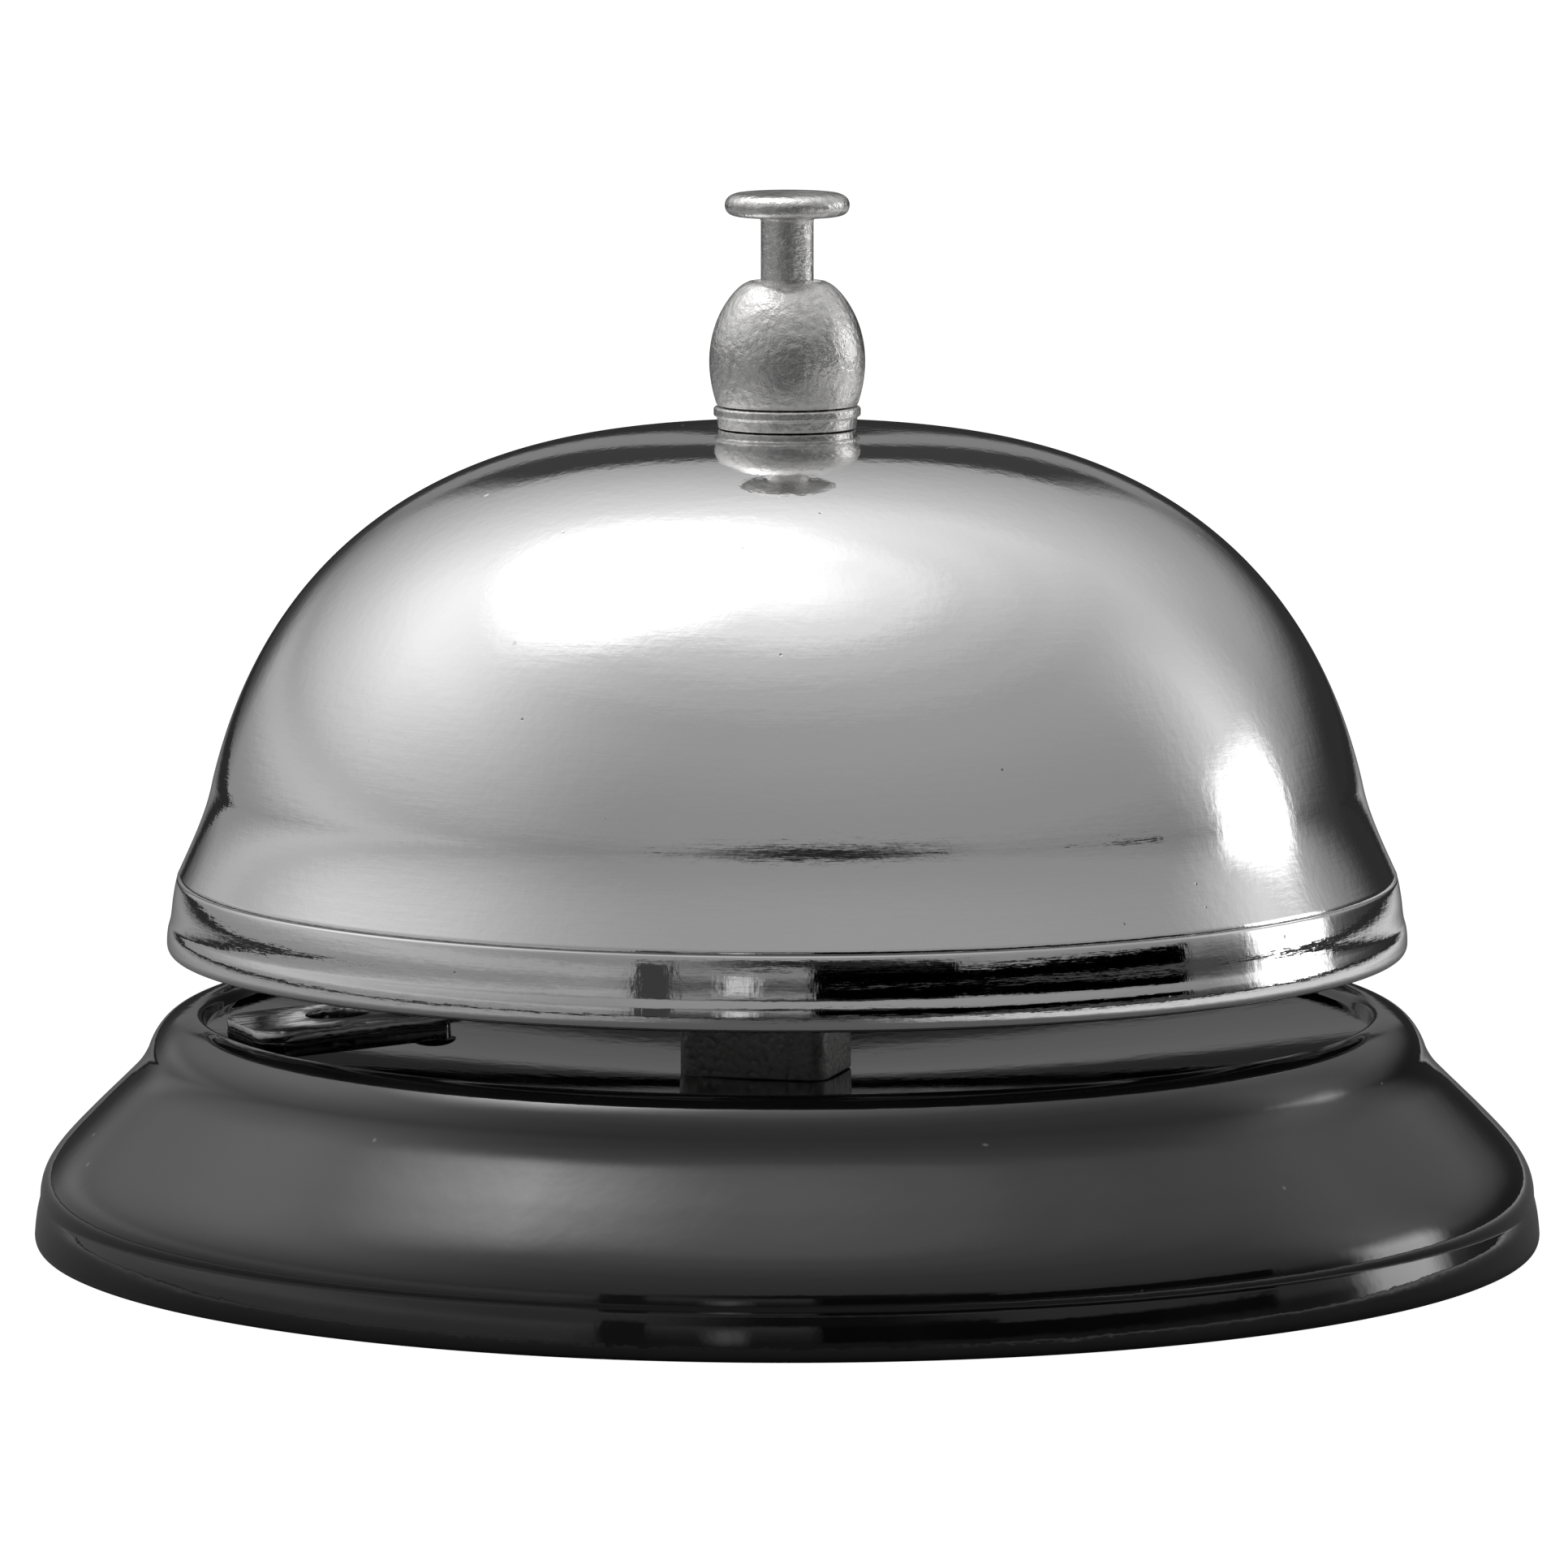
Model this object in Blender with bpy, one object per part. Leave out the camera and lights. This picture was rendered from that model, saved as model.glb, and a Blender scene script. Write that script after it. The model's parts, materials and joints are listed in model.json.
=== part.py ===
"""Desk call bell: press the button and the striker inside swings out and up to the bell's wall.

Metres, +Z up, origin on the axis at the level that the bell stands on.
The striker works in one upright plane, the striker line. Its pieces are built along local +X,
away from the bell's axis, and the line is then turned to its place.
"""
import math

import bmesh
import bpy
from mathutils import Matrix, Vector
from mathutils.geometry import interpolate_bezier

# ---------------------------------------------------------------- clearances
SEAT_GAP = 0.0003        # left between pieces that touch
RUN_GAP = 0.0001         # radial clearance of the striker's pin
SLIDE_GAP = 0.0003       # radial clearance of the plunger in its guides
STRIKE_GAP = 0.0003      # from the striker to the bell with the button held down
RECESS_GAP = 0.0003      # from the striker's end to the recess's lip
CUT_PAST = 0.0020        # how far a cutter runs past the metal

# ---------------------------------------------------------------- bell
BELL_RIM_R = 0.03495     # widest radius, just above the rim
BELL_RIM_Z = 0.0167      # underside of the rim
BELL_WALL = 0.0008
BELL_BAND_H = 0.0039     # plain band above the rim
BELL_BAND_TAPER = 0.0005
BELL_FLARE_H = 0.0043    # hollow flare between band and dome
BELL_FLARE_IN = 0.0018
BELL_DOME_H = 0.0211     # flare to crown
BELL_CROWN_R = 0.0046    # flat of the crown
DOME_SIDE_FULLNESS = 0.54
DOME_TOP_FULLNESS = 0.634
DOME_SIDE_LEAN = 0.0026
FLARE_TOP_EASE = (0.0003, -0.0014)    # curve handles, from the flare's ends
FLARE_FOOT_EASE = (-0.0005, 0.0011)

# ---------------------------------------------------------------- base
BASE_SHEET = 0.0010
BASE_LIFT = 0.0001       # hem above the table
RECESS_LIP_H = 0.0123    # level of the recess's lip
RIDGE_RISE = 0.0009      # top of the rolled ridge above the lip
RIDGE_IN = 0.0006        # lip to the ridge's crest
RIDGE_W = 0.0033         # lip to the ridge's foot outside
RIDGE_FOOT_DROP = 0.0013
SHOULDER_W = 0.0032      # sloping flank, in plan
HEM_H = 0.0027
SHOULDER_TURN_H = 0.0047
SHOULDER_TURN_W = 0.00325
RECESS_DEPTH = 0.00235   # lip down to the flat floor
FLOOR_FLAT_R = 0.011
DISH_EASE = 0.733        # share of the lip's radius where the dish starts to climb
DISH_WALL_EASE = (-0.0012, 0.0003)    # curve handle, from the lip's radius and the floor's level
LIP_ROLL_EASE = 0.0001
CREST_EASE = 0.0013
RIDGE_FOOT_EASE = (-0.0003, 0.0010)
KINK_W = 0.0009          # hollow under the ridge, before the flank
KINK_H = 0.0014
SHOULDER_EASE = 0.0020
HEM_EASE = 0.0018
HEM_EDGE = 0.0003        # lean of the hem and chamfer of its foot
HEM_FOLD = 0.0002        # the turned-in hem is that much thicker than the sheet
INNER_KNEE = (0.0018, 0.0019)         # inside of the ridge: in and down from its foot
INNER_KNEE_SINK = 0.0001
INNER_FLOOR_IN = 0.0024
GRIP_W = 0.0027
GRIP_H = 0.0024
GRIP_EDGE = 0.0003

# ---------------------------------------------------------------- plunger, post and nuts
STEM_R = 0.00148
BUTTON_R = 0.0035
BUTTON_H = 0.0014
BUTTON_EDGE = 0.0005
EDGE_STEPS = 3           # facets round the button's edge
STEM_SHOWING = 0.0036    # from cap nut to button
PLUNGER_STROKE = 0.0026
TIP_R = 0.0008
TIP_H = 0.0012
NECK_R = 0.0030          # post's upper, threaded neck
NECK_RISE = 0.0048       # neck above the crown
NECK_EDGE = 0.0003
POST_R = 0.0040
POST_BORE_R = 0.0030
POST_SHOULDER_H = 0.0030 # solid part of the post under its neck
COLLAR_RING_R = 0.00415
COLLAR_RING_H = 0.0007
CAP_FOOT_R = 0.0040
CAP_BULB_R = 0.00434
CAP_H = 0.0070
CAP_TOP_R = 0.0022
CAP_BORE_TOP = 0.0021    # roof of the cap nut over its bore
CAP_TOP_EASE = 0.00085
CAP_BULB_PULL = 2.4      # curve handle past the bulb, in bulges
CAP_BULB_H = 0.0042
WASHER_H = 0.0008
CROWN_WASHER_R = 0.0056
JAM_NUT_FLATS = 0.0130
JAM_NUT_H = 0.0030
POST_WASHER_R = 0.0072
PLUNGER_COLLAR_R = 0.0027
PLUNGER_COLLAR_H = 0.0018
SPRING_WIRE_R = 0.00025
SPRING_MEAN_R = 0.0023
SPRING_TURNS = 8

# ---------------------------------------------------------------- striker
LINE_AZIMUTH = math.radians(200.8)
ARM_SHEET = 0.0006
WEIGHT_SHEET = 0.0006
HEAD_HALF_W = 0.0040
HEAD_CORNER_R = 0.0020
CORNER_STEPS = 6
HEAD_DRILL = 0.0100      # length of the drills through the head
WEIGHT_SETBACK = 0.0004  # the second layer starts behind the arm's head
BEND_SETBACK = 0.0002    # the bend lies before the head
ARM_STRAIGHT = 0.0010    # flat part of the arm past the pin
HEAD_LENGTH = 0.0116
HEAD_RISE = 0.062        # the head climbs towards the pivot, metres per metre
HEAD_ABOVE_LIP = 0.00155 # end of the head, top face, above the recess's lip
HOLE_R = 0.0018
HOLE_FROM_END = 0.0057
NECK_HALF_W = 0.0020
PIVOT_R = 0.0110         # striker pin from the bell's axis
PIVOT_ABOVE_FLOOR = 0.00986
PIN_R = 0.0010
BARREL_R = 0.0018
BARREL_HALF_W = 0.0021
ARM_TAIL = 0.0016        # past the bell's axis, under the plunger
RIVET_R = 0.0007
RIVET_HEAD_R = 0.0013
RIVET_HEAD_H = 0.0004
RIVET_FROM_END = 0.0105
RIVET_HALF_SPACING = 0.0023

# ---------------------------------------------------------------- pedestal
COLUMN_LENGTH = 0.0086
COLUMN_DEPTH = 0.0068
COLUMN_OFFSET_X = -0.0012
COLUMN_TURN = math.radians(-15.0)
COLUMN_CORNER_R = 0.0010
FORK_CHEEK = 0.0022
FORK_BACK = 0.0055       # fork behind the bell's axis
FORK_REACH = 0.0028      # fork past the pin
FORK_FLOOR = 0.0023      # metal under the slot
FORK_ROOF = 0.0030
ROOF_LEDGE = 0.0010      # spring's seat in the roof
SCREW_R = 0.0010
SCREW_HEAD_R = 0.0018
SCREW_HEAD_H = 0.0013
SCREW_BITE = 0.0045
SCREW_TIP_EDGE = 0.0003
SCREW_HEAD_EDGE = 0.0005
SCREW_HALF_SPACING = 0.0022
CLIP_R = 0.0021
CLIP_H = 0.0005
PIN_END = 0.0005

# ---------------------------------------------------------------- facets
FINE_STEPS = 64
ROUND_STEPS = 24
SPRING_STEPS = 12      # per turn
SPRING_SIDES = 5

# ---------------------------------------------------------------- worked out from the above
BELL_INNER_R = BELL_RIM_R - BELL_WALL
BELL_DOME_Z = BELL_RIM_Z + BELL_BAND_H + BELL_FLARE_H
CROWN_Z = BELL_DOME_Z + BELL_DOME_H
CROWN_UNDER_Z = CROWN_Z - BELL_WALL
FLOOR_Z = RECESS_LIP_H - RECESS_DEPTH
FLOOR_UNDER_Z = FLOOR_Z - BASE_SHEET

PIVOT_Z = FLOOR_Z + PIVOT_ABOVE_FLOOR
LEVER_TOP_Z = PIVOT_Z + ARM_SHEET / 2
PLUNGER_TIP_Z = LEVER_TOP_Z + SEAT_GAP
SWING = PLUNGER_STROKE / PIVOT_R
HEAD_END_TOP_Z = RECESS_LIP_H + HEAD_ABOVE_LIP
HEAD_END_MID_Z = HEAD_END_TOP_Z - ARM_SHEET / 2
HEAD_BOTTOM_DROP = PIVOT_Z - (HEAD_END_TOP_Z - ARM_SHEET - SEAT_GAP - WEIGHT_SHEET)


def head_end_radius():
    """Rest radius of the head's end, so that held down it stands STRIKE_GAP off the bell's wall.

    The bottom corner of the weight leads: it swings out by drop x sin and in by reach x (1 - cos).
    """
    wall = BELL_INNER_R - STRIKE_GAP - BELL_BAND_TAPER / 2
    reach = (wall - PIVOT_R - HEAD_BOTTOM_DROP * math.sin(SWING)) / math.cos(SWING)
    return PIVOT_R + reach


HEAD_END_R = head_end_radius()
HOLE_AT = HEAD_END_R - HOLE_FROM_END
HEAD_START_R = HEAD_END_R - HEAD_LENGTH
RIVET_AT = HEAD_END_R - RIVET_FROM_END
RECESS_LIP_R = HEAD_END_R + RECESS_GAP
RIDGE_FOOT_R = RECESS_LIP_R + RIDGE_W
SHOULDER_R = RIDGE_FOOT_R + SHOULDER_W
BASE_R = SHOULDER_R + SHOULDER_TURN_W
HEM_INNER_R = BASE_R - BASE_SHEET - HEM_FOLD

SLOT_HALF_W = BARREL_HALF_W + SEAT_GAP
FORK_HALF_W = SLOT_HALF_W + FORK_CHEEK
FORK_END = PIVOT_R + FORK_REACH
SWEPT_DROP = (PIVOT_R + ARM_TAIL) * math.sin(SWING) + ARM_SHEET
SLOT_FLOOR_Z = PIVOT_Z - SWEPT_DROP - SEAT_GAP
SLOT_ROOF_Z = PIVOT_Z + BARREL_R + SEAT_GAP + ARM_SHEET
FORK_BOTTOM_Z = SLOT_FLOOR_Z - FORK_FLOOR
FORK_TOP_Z = SLOT_ROOF_Z + FORK_ROOF
SPRING_SEAT_Z = SLOT_ROOF_Z + ROOF_LEDGE
POST_BOTTOM_Z = SPRING_SEAT_Z + SEAT_GAP
GUIDE_R = STEM_R + SLIDE_GAP

CROWN_WASHER_Z = CROWN_UNDER_Z - SEAT_GAP - WASHER_H
POST_SHOULDER_Z = CROWN_WASHER_Z - SEAT_GAP
POST_BORE_TOP_Z = POST_SHOULDER_Z - POST_SHOULDER_H
NECK_TOP_Z = CROWN_Z + NECK_RISE
NECK_HOLE_R = NECK_R + SEAT_GAP
COLLAR_RING_Z = CROWN_Z + SEAT_GAP
CAP_Z = COLLAR_RING_Z + COLLAR_RING_H + SEAT_GAP
CAP_TOP_Z = CAP_Z + CAP_H
BUTTON_Z = CAP_TOP_Z + STEM_SHOWING
PLUNGER_COLLAR_Z = POST_BORE_TOP_Z - SEAT_GAP - PLUNGER_COLLAR_H
SPRING_BOTTOM_Z = SPRING_SEAT_Z + SEAT_GAP
SPRING_TOP_Z = PLUNGER_COLLAR_Z - SEAT_GAP


# ---------------------------------------------------------------- materials
def material(name, colour, roughness, metallic):
    """A plain Principled material."""
    result = bpy.data.materials.new(name)
    result.use_nodes = True
    shader = result.node_tree.nodes["Principled BSDF"]
    shader.inputs["Base Color"].default_value = (*colour, 1.0)
    shader.inputs["Roughness"].default_value = roughness
    shader.inputs["Metallic"].default_value = metallic
    return result


# ---------------------------------------------------------------- shape helpers
def curve(start, handle_1, handle_2, end, count):
    """Points along a Bezier curve in the radius-height plane, both ends included."""
    knots = [Vector((*point, 0.0)) for point in (start, handle_1, handle_2, end)]
    return [(point.x, point.y) for point in interpolate_bezier(*knots, count)]


def finish_object(name, bm, look, parent=None, location=(0.0, 0.0, 0.0)):
    """Turns a bmesh into a named, shaded object with one material."""
    bmesh.ops.recalc_face_normals(bm, faces=bm.faces)
    mesh = bpy.data.meshes.new(name)
    bm.to_mesh(mesh)
    bm.free()
    mesh.shade_smooth()
    mesh.set_sharp_from_angle(angle=math.radians(32.0))
    mesh.materials.append(look)
    result = bpy.data.objects.new(name, mesh)
    bpy.context.collection.objects.link(result)
    result.parent = parent
    result.location = location
    return result


def lathed(outline, steps, on_axis=False):
    """Turns an outline round Z. A closed outline makes a ring, one that starts and ends on Z a solid."""
    bm = bmesh.new()
    verts = [bm.verts.new((radius, 0.0, height)) for radius, height in outline]
    pairs = list(zip(verts, verts[1:]))
    if not on_axis:
        pairs.append((verts[-1], verts[0]))
    edges = [bm.edges.new(pair) for pair in pairs]
    bmesh.ops.spin(bm, geom=verts + edges, cent=(0, 0, 0), axis=(0, 0, 1), dvec=(0, 0, 0),
                   angle=math.tau, steps=steps, use_merge=True, use_duplicate=False)
    bmesh.ops.remove_doubles(bm, verts=bm.verts, dist=1e-7)
    return bm


def tube(inner_r, outer_r, bottom, top, edge=0.0):
    """Outline of a plain ring, with an optional chamfer on its outer edges."""
    if edge == 0.0:
        return [(outer_r, top), (outer_r, bottom), (inner_r, bottom), (inner_r, top)]
    return [(outer_r - edge, top), (outer_r, top - edge), (outer_r, bottom + edge),
            (outer_r - edge, bottom), (inner_r, bottom), (inner_r, top)]


def block(low, high):
    """A box between two corners."""
    bm = bmesh.new()
    size = [b - a for a, b in zip(low, high)]
    centre = [(a + b) / 2 for a, b in zip(low, high)]
    place = Matrix.Translation(centre) @ Matrix.Diagonal((*size, 1.0))
    bmesh.ops.create_cube(bm, size=1.0, matrix=place)
    return bm


def bevel_upright_edges(bm, radius, segments=4):
    """Rounds the edges that run along Z."""
    upright = [e for e in bm.edges if abs((e.verts[0].co - e.verts[1].co).normalized().z) > 0.99]
    bmesh.ops.bevel(bm, geom=upright, offset=radius, affect="EDGES", segments=segments,
                    profile=0.5, clamp_overlap=True)


def extruded(points, offset):
    """Pushes a flat outline along a vector into a solid."""
    bm = bmesh.new()
    face = bm.faces.new([bm.verts.new(point) for point in points])
    pushed = bmesh.ops.extrude_face_region(bm, geom=[face])
    moved = [item for item in pushed["geom"] if isinstance(item, bmesh.types.BMVert)]
    bmesh.ops.translate(bm, verts=moved, vec=offset)
    return bm


def rod_along(axis, radius, centre, length, steps=ROUND_STEPS):
    """A plain cylinder along X, Y or Z about a centre."""
    turn = {"X": Matrix.Rotation(math.pi / 2, 4, "Y"), "Y": Matrix.Rotation(math.pi / 2, 4, "X"),
            "Z": Matrix.Identity(4)}[axis]
    bm = bmesh.new()
    bmesh.ops.create_cone(bm, cap_ends=True, segments=steps, radius1=radius, radius2=radius,
                          depth=length, matrix=Matrix.Translation(centre) @ turn)
    return bm


def cut(target, bm, operation="DIFFERENCE"):
    """Cuts a target with a hidden tool that shares its parent, or joins or keeps what they share."""
    tool = finish_object(f"{target.name}_tool", bm, target.data.materials[0], target.parent)
    tool.location = target.location
    tool.hide_render = True
    tool.display_type = "WIRE"
    modifier = target.modifiers.new(operation.lower(), "BOOLEAN")
    modifier.operation = operation
    modifier.solver = "EXACT"
    modifier.object = tool


def empty(name, location, azimuth, parent=None):
    """A frame to hang pieces on."""
    result = bpy.data.objects.new(name, None)
    bpy.context.collection.objects.link(result)
    result.parent = parent
    result.location = location
    result.rotation_euler = (0.0, 0.0, azimuth)
    return result


# ---------------------------------------------------------------- base
def build_base(look):
    """Pressed base: hem, turned shoulder, sloping flank, rolled ridge and dished recess."""
    lip = (RECESS_LIP_R, RECESS_LIP_H)
    crest = (RECESS_LIP_R + RIDGE_IN, RECESS_LIP_H + RIDGE_RISE)
    ridge_foot = (RIDGE_FOOT_R, RECESS_LIP_H - RIDGE_FOOT_DROP)
    flank_top = (ridge_foot[0] + KINK_W, ridge_foot[1] - KINK_H)
    flank_foot = (SHOULDER_R, SHOULDER_TURN_H + HEM_H)
    hem_top = (BASE_R - HEM_EDGE, HEM_H)
    hem_foot = (BASE_R, BASE_LIFT + HEM_EDGE)
    floor_edge = (FLOOR_FLAT_R, FLOOR_Z)
    outside = [floor_edge]
    outside += curve(floor_edge, (DISH_EASE * RECESS_LIP_R, FLOOR_Z),
                     (RECESS_LIP_R + DISH_WALL_EASE[0], FLOOR_Z + DISH_WALL_EASE[1]), lip, 7)[1:]
    outside += curve(lip, (lip[0] + LIP_ROLL_EASE, crest[1] - LIP_ROLL_EASE),
                     (lip[0] + 2 * LIP_ROLL_EASE, crest[1]), crest, 3)[1:]
    outside += curve(crest, (crest[0] + CREST_EASE, crest[1]),
                     (ridge_foot[0] + RIDGE_FOOT_EASE[0], ridge_foot[1] + RIDGE_FOOT_EASE[1]),
                     ridge_foot, 5)[1:]
    outside += [flank_top]
    outside += curve(flank_foot, (flank_foot[0] + SHOULDER_EASE, flank_foot[1] - SHOULDER_EASE),
                     (hem_top[0], hem_top[1] + HEM_EASE), hem_top, 5)
    outside += [hem_foot, (BASE_R - HEM_EDGE, BASE_LIFT)]
    inside = [
        (HEM_INNER_R, BASE_LIFT),
        (HEM_INNER_R, SHOULDER_TURN_H),
        (flank_foot[0] - BASE_SHEET, flank_foot[1] - BASE_SHEET / 2),
        (ridge_foot[0], ridge_foot[1] - INNER_KNEE[1]),
        (ridge_foot[0] - INNER_KNEE[0], FLOOR_Z - INNER_KNEE_SINK),
        (RECESS_LIP_R - INNER_FLOOR_IN, FLOOR_UNDER_Z),
    ]
    outline = [(0.0, FLOOR_Z)] + outside + inside + [(0.0, FLOOR_UNDER_Z)]
    shell = finish_object("base_shell", lathed(outline, FINE_STEPS, on_axis=True), look)
    for x, y in screw_places():
        cut_round_hole(shell, x, y, SCREW_R + SEAT_GAP, FLOOR_UNDER_Z, FLOOR_Z)
    return shell


def cut_round_hole(target, x, y, radius, bottom, top):
    """An upright hole right through between two levels."""
    height = top - bottom + CUT_PAST
    cut(target, rod_along("Z", radius, (x, y, (bottom + top) / 2), height, 24))


def build_grip_ring(look):
    """Rubber ring glued inside the hem, a little proud of it."""
    outer = HEM_INNER_R - SEAT_GAP
    ring = tube(outer - GRIP_W, outer, 0.0, GRIP_H, GRIP_EDGE)
    return finish_object("grip_ring", lathed(ring, FINE_STEPS), look)


# ---------------------------------------------------------------- pedestal
def column_matrix():
    """Place and turn of the pedestal's column."""
    return Matrix.Translation((COLUMN_OFFSET_X, 0.0, 0.0)) @ Matrix.Rotation(COLUMN_TURN, 4, "Z")


def screw_places():
    """The two screws' places in plan, along the column."""
    return [tuple((column_matrix() @ Vector((side * SCREW_HALF_SPACING, 0.0, 0.0))).xy) for side in (-1, 1)]


def build_pedestal(look, line):
    """Zinc casting: a column on the floor, and on it a fork for the striker and the post."""
    bottom = FLOOR_Z + SEAT_GAP
    half_slot = SLOT_HALF_W
    body = finish_object("pedestal", block((-FORK_BACK, -FORK_HALF_W, FORK_BOTTOM_Z),
                                           (FORK_END, FORK_HALF_W, FORK_TOP_Z)), look, line)
    column = block((-COLUMN_LENGTH / 2, -COLUMN_DEPTH / 2, bottom),
                   (COLUMN_LENGTH / 2, COLUMN_DEPTH / 2, FORK_BOTTOM_Z + FORK_FLOOR / 2))
    bevel_upright_edges(column, COLUMN_CORNER_R)
    column.transform(Matrix.Rotation(-LINE_AZIMUTH, 4, "Z") @ column_matrix())
    cut(body, column, "UNION")
    past = CUT_PAST
    cut(body, block((-FORK_BACK - past, -half_slot, SLOT_FLOOR_Z), (PIVOT_R, half_slot, SLOT_ROOF_Z)))
    cut(body, block((PIVOT_R - past, -half_slot, rest_level()), (FORK_END + past, half_slot, SLOT_ROOF_Z)))
    post_socket = [(0.0, FORK_TOP_Z + past), (POST_R + SEAT_GAP, FORK_TOP_Z + past),
                   (POST_R + SEAT_GAP, SPRING_SEAT_Z), (GUIDE_R, SPRING_SEAT_Z),
                   (GUIDE_R, SLOT_ROOF_Z - past), (0.0, SLOT_ROOF_Z - past)]
    cut(body, lathed(post_socket, ROUND_STEPS, on_axis=True))
    cut(body, rod_along("Y", BARREL_R + SEAT_GAP, (PIVOT_R, 0.0, PIVOT_Z), 2 * BARREL_HALF_W + SEAT_GAP))
    cut(body, rod_along("Y", PIN_R + SEAT_GAP, (PIVOT_R, 0.0, PIVOT_Z), 2 * FORK_HALF_W + past, 24))
    unturn = Matrix.Rotation(-LINE_AZIMUTH, 4, "Z")
    for x, y in screw_places():
        place = unturn @ Vector((x, y, bottom))
        cut(body, rod_along("Z", SCREW_R + SEAT_GAP, place, 2 * (SCREW_BITE + SEAT_GAP), 24))
    return body


def build_pedestal_screws(look):
    """Two pan-head screws from under the floor."""
    head_top = FLOOR_UNDER_Z - SEAT_GAP
    tip = FLOOR_Z + SEAT_GAP + SCREW_BITE
    head_bottom = head_top - SCREW_HEAD_H
    outline = [(0.0, tip), (SCREW_R - SCREW_TIP_EDGE, tip), (SCREW_R, tip - SCREW_TIP_EDGE),
               (SCREW_R, head_top), (SCREW_HEAD_R, head_top),
               (SCREW_HEAD_R, head_bottom + SCREW_HEAD_EDGE),
               (SCREW_HEAD_R - SCREW_HEAD_EDGE, head_bottom), (0.0, head_bottom)]
    for number, (x, y) in enumerate(screw_places(), 1):
        finish_object(f"pedestal_screw_{number}", lathed(outline, ROUND_STEPS, on_axis=True), look,
                      None, (x, y, 0.0))


# ---------------------------------------------------------------- post, nuts and washers
def build_post(look):
    """Hollow post: wide part with the spring inside, shoulder, and the neck that the cap nut grips."""
    outline = [(NECK_R - NECK_EDGE, NECK_TOP_Z), (NECK_R, NECK_TOP_Z - NECK_EDGE),
               (NECK_R, POST_SHOULDER_Z), (POST_R, POST_SHOULDER_Z), (POST_R, POST_BOTTOM_Z),
               (POST_BORE_R, POST_BOTTOM_Z),
               (POST_BORE_R, POST_BORE_TOP_Z), (GUIDE_R, POST_BORE_TOP_Z), (GUIDE_R, NECK_TOP_Z)]
    return finish_object("post", lathed(outline, ROUND_STEPS), look)


def build_washer(name, inner_r, outer_r, bottom, look):
    """A flat washer round the axis."""
    return finish_object(name, lathed(tube(inner_r, outer_r, bottom, bottom + WASHER_H), ROUND_STEPS), look)


def build_jam_nut(look, line):
    """Hexagon nut that locks the post on the pedestal's roof."""
    bottom = FORK_TOP_Z + 2 * SEAT_GAP + WASHER_H
    nut = bmesh.new()
    bmesh.ops.create_cone(nut, cap_ends=True, segments=6, radius1=JAM_NUT_FLATS / math.sqrt(3),
                          radius2=JAM_NUT_FLATS / math.sqrt(3), depth=JAM_NUT_H,
                          matrix=Matrix.Translation((0.0, 0.0, bottom + JAM_NUT_H / 2)))
    result = finish_object("jam_nut", nut, look, line)
    cut(result, rod_along("Z", POST_R + SEAT_GAP, (0.0, 0.0, bottom), 4 * JAM_NUT_H))
    return result


def build_cap_nut(look):
    """Bulb-shaped nut, open for the plunger at the top."""
    foot = (CAP_FOOT_R, CAP_Z)
    shoulder = (CAP_TOP_R, CAP_TOP_Z)
    bulge = CAP_BULB_R - CAP_FOOT_R
    side = curve(shoulder, (CAP_TOP_R + CAP_TOP_EASE, CAP_TOP_Z),
                 (CAP_BULB_R + CAP_BULB_PULL * bulge, CAP_Z + CAP_BULB_H), foot, 12)
    roof = CAP_TOP_Z - CAP_BORE_TOP
    outline = side + [(NECK_HOLE_R, CAP_Z), (NECK_HOLE_R, roof), (GUIDE_R, roof), (GUIDE_R, CAP_TOP_Z)]
    return finish_object("cap_nut", lathed(outline, 48), look)


# ---------------------------------------------------------------- bell
def bell_side(inset, dome_points, flare_points):
    """The bell's side from crown to rim, drawn inset from its outer face."""
    rim_r = BELL_RIM_R - inset
    band_top = (rim_r - BELL_BAND_TAPER, BELL_RIM_Z + BELL_BAND_H)
    dome_foot = (band_top[0] - BELL_FLARE_IN, BELL_DOME_Z)
    crown = (BELL_CROWN_R, CROWN_Z - inset)
    rise = crown[1] - dome_foot[1]
    width = dome_foot[0] - crown[0]
    dome = curve(crown, (crown[0] + DOME_TOP_FULLNESS * width, crown[1]),
                 (dome_foot[0] - DOME_SIDE_LEAN, dome_foot[1] + DOME_SIDE_FULLNESS * rise), dome_foot,
                 dome_points)
    flare = curve(dome_foot, (dome_foot[0] + FLARE_TOP_EASE[0], dome_foot[1] + FLARE_TOP_EASE[1]),
                  (band_top[0] + FLARE_FOOT_EASE[0], band_top[1] + FLARE_FOOT_EASE[1]), band_top,
                  flare_points)
    return dome + flare[1:]


def build_bell(look):
    """Thin turned shell with a plain rim band and a hole in its crown."""
    outer = bell_side(0.0, 10, 5)
    inner = bell_side(BELL_WALL, 7, 3)
    soft = BELL_WALL / 4
    rim = [(BELL_RIM_R, BELL_RIM_Z + soft), (BELL_RIM_R - soft, BELL_RIM_Z),
           (BELL_INNER_R + soft, BELL_RIM_Z), (BELL_INNER_R, BELL_RIM_Z + soft)]
    hole = [(NECK_HOLE_R, CROWN_UNDER_Z), (NECK_HOLE_R, CROWN_Z)]
    return finish_object("bell", lathed(outer + rim + inner[::-1] + hole, FINE_STEPS), look)


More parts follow.
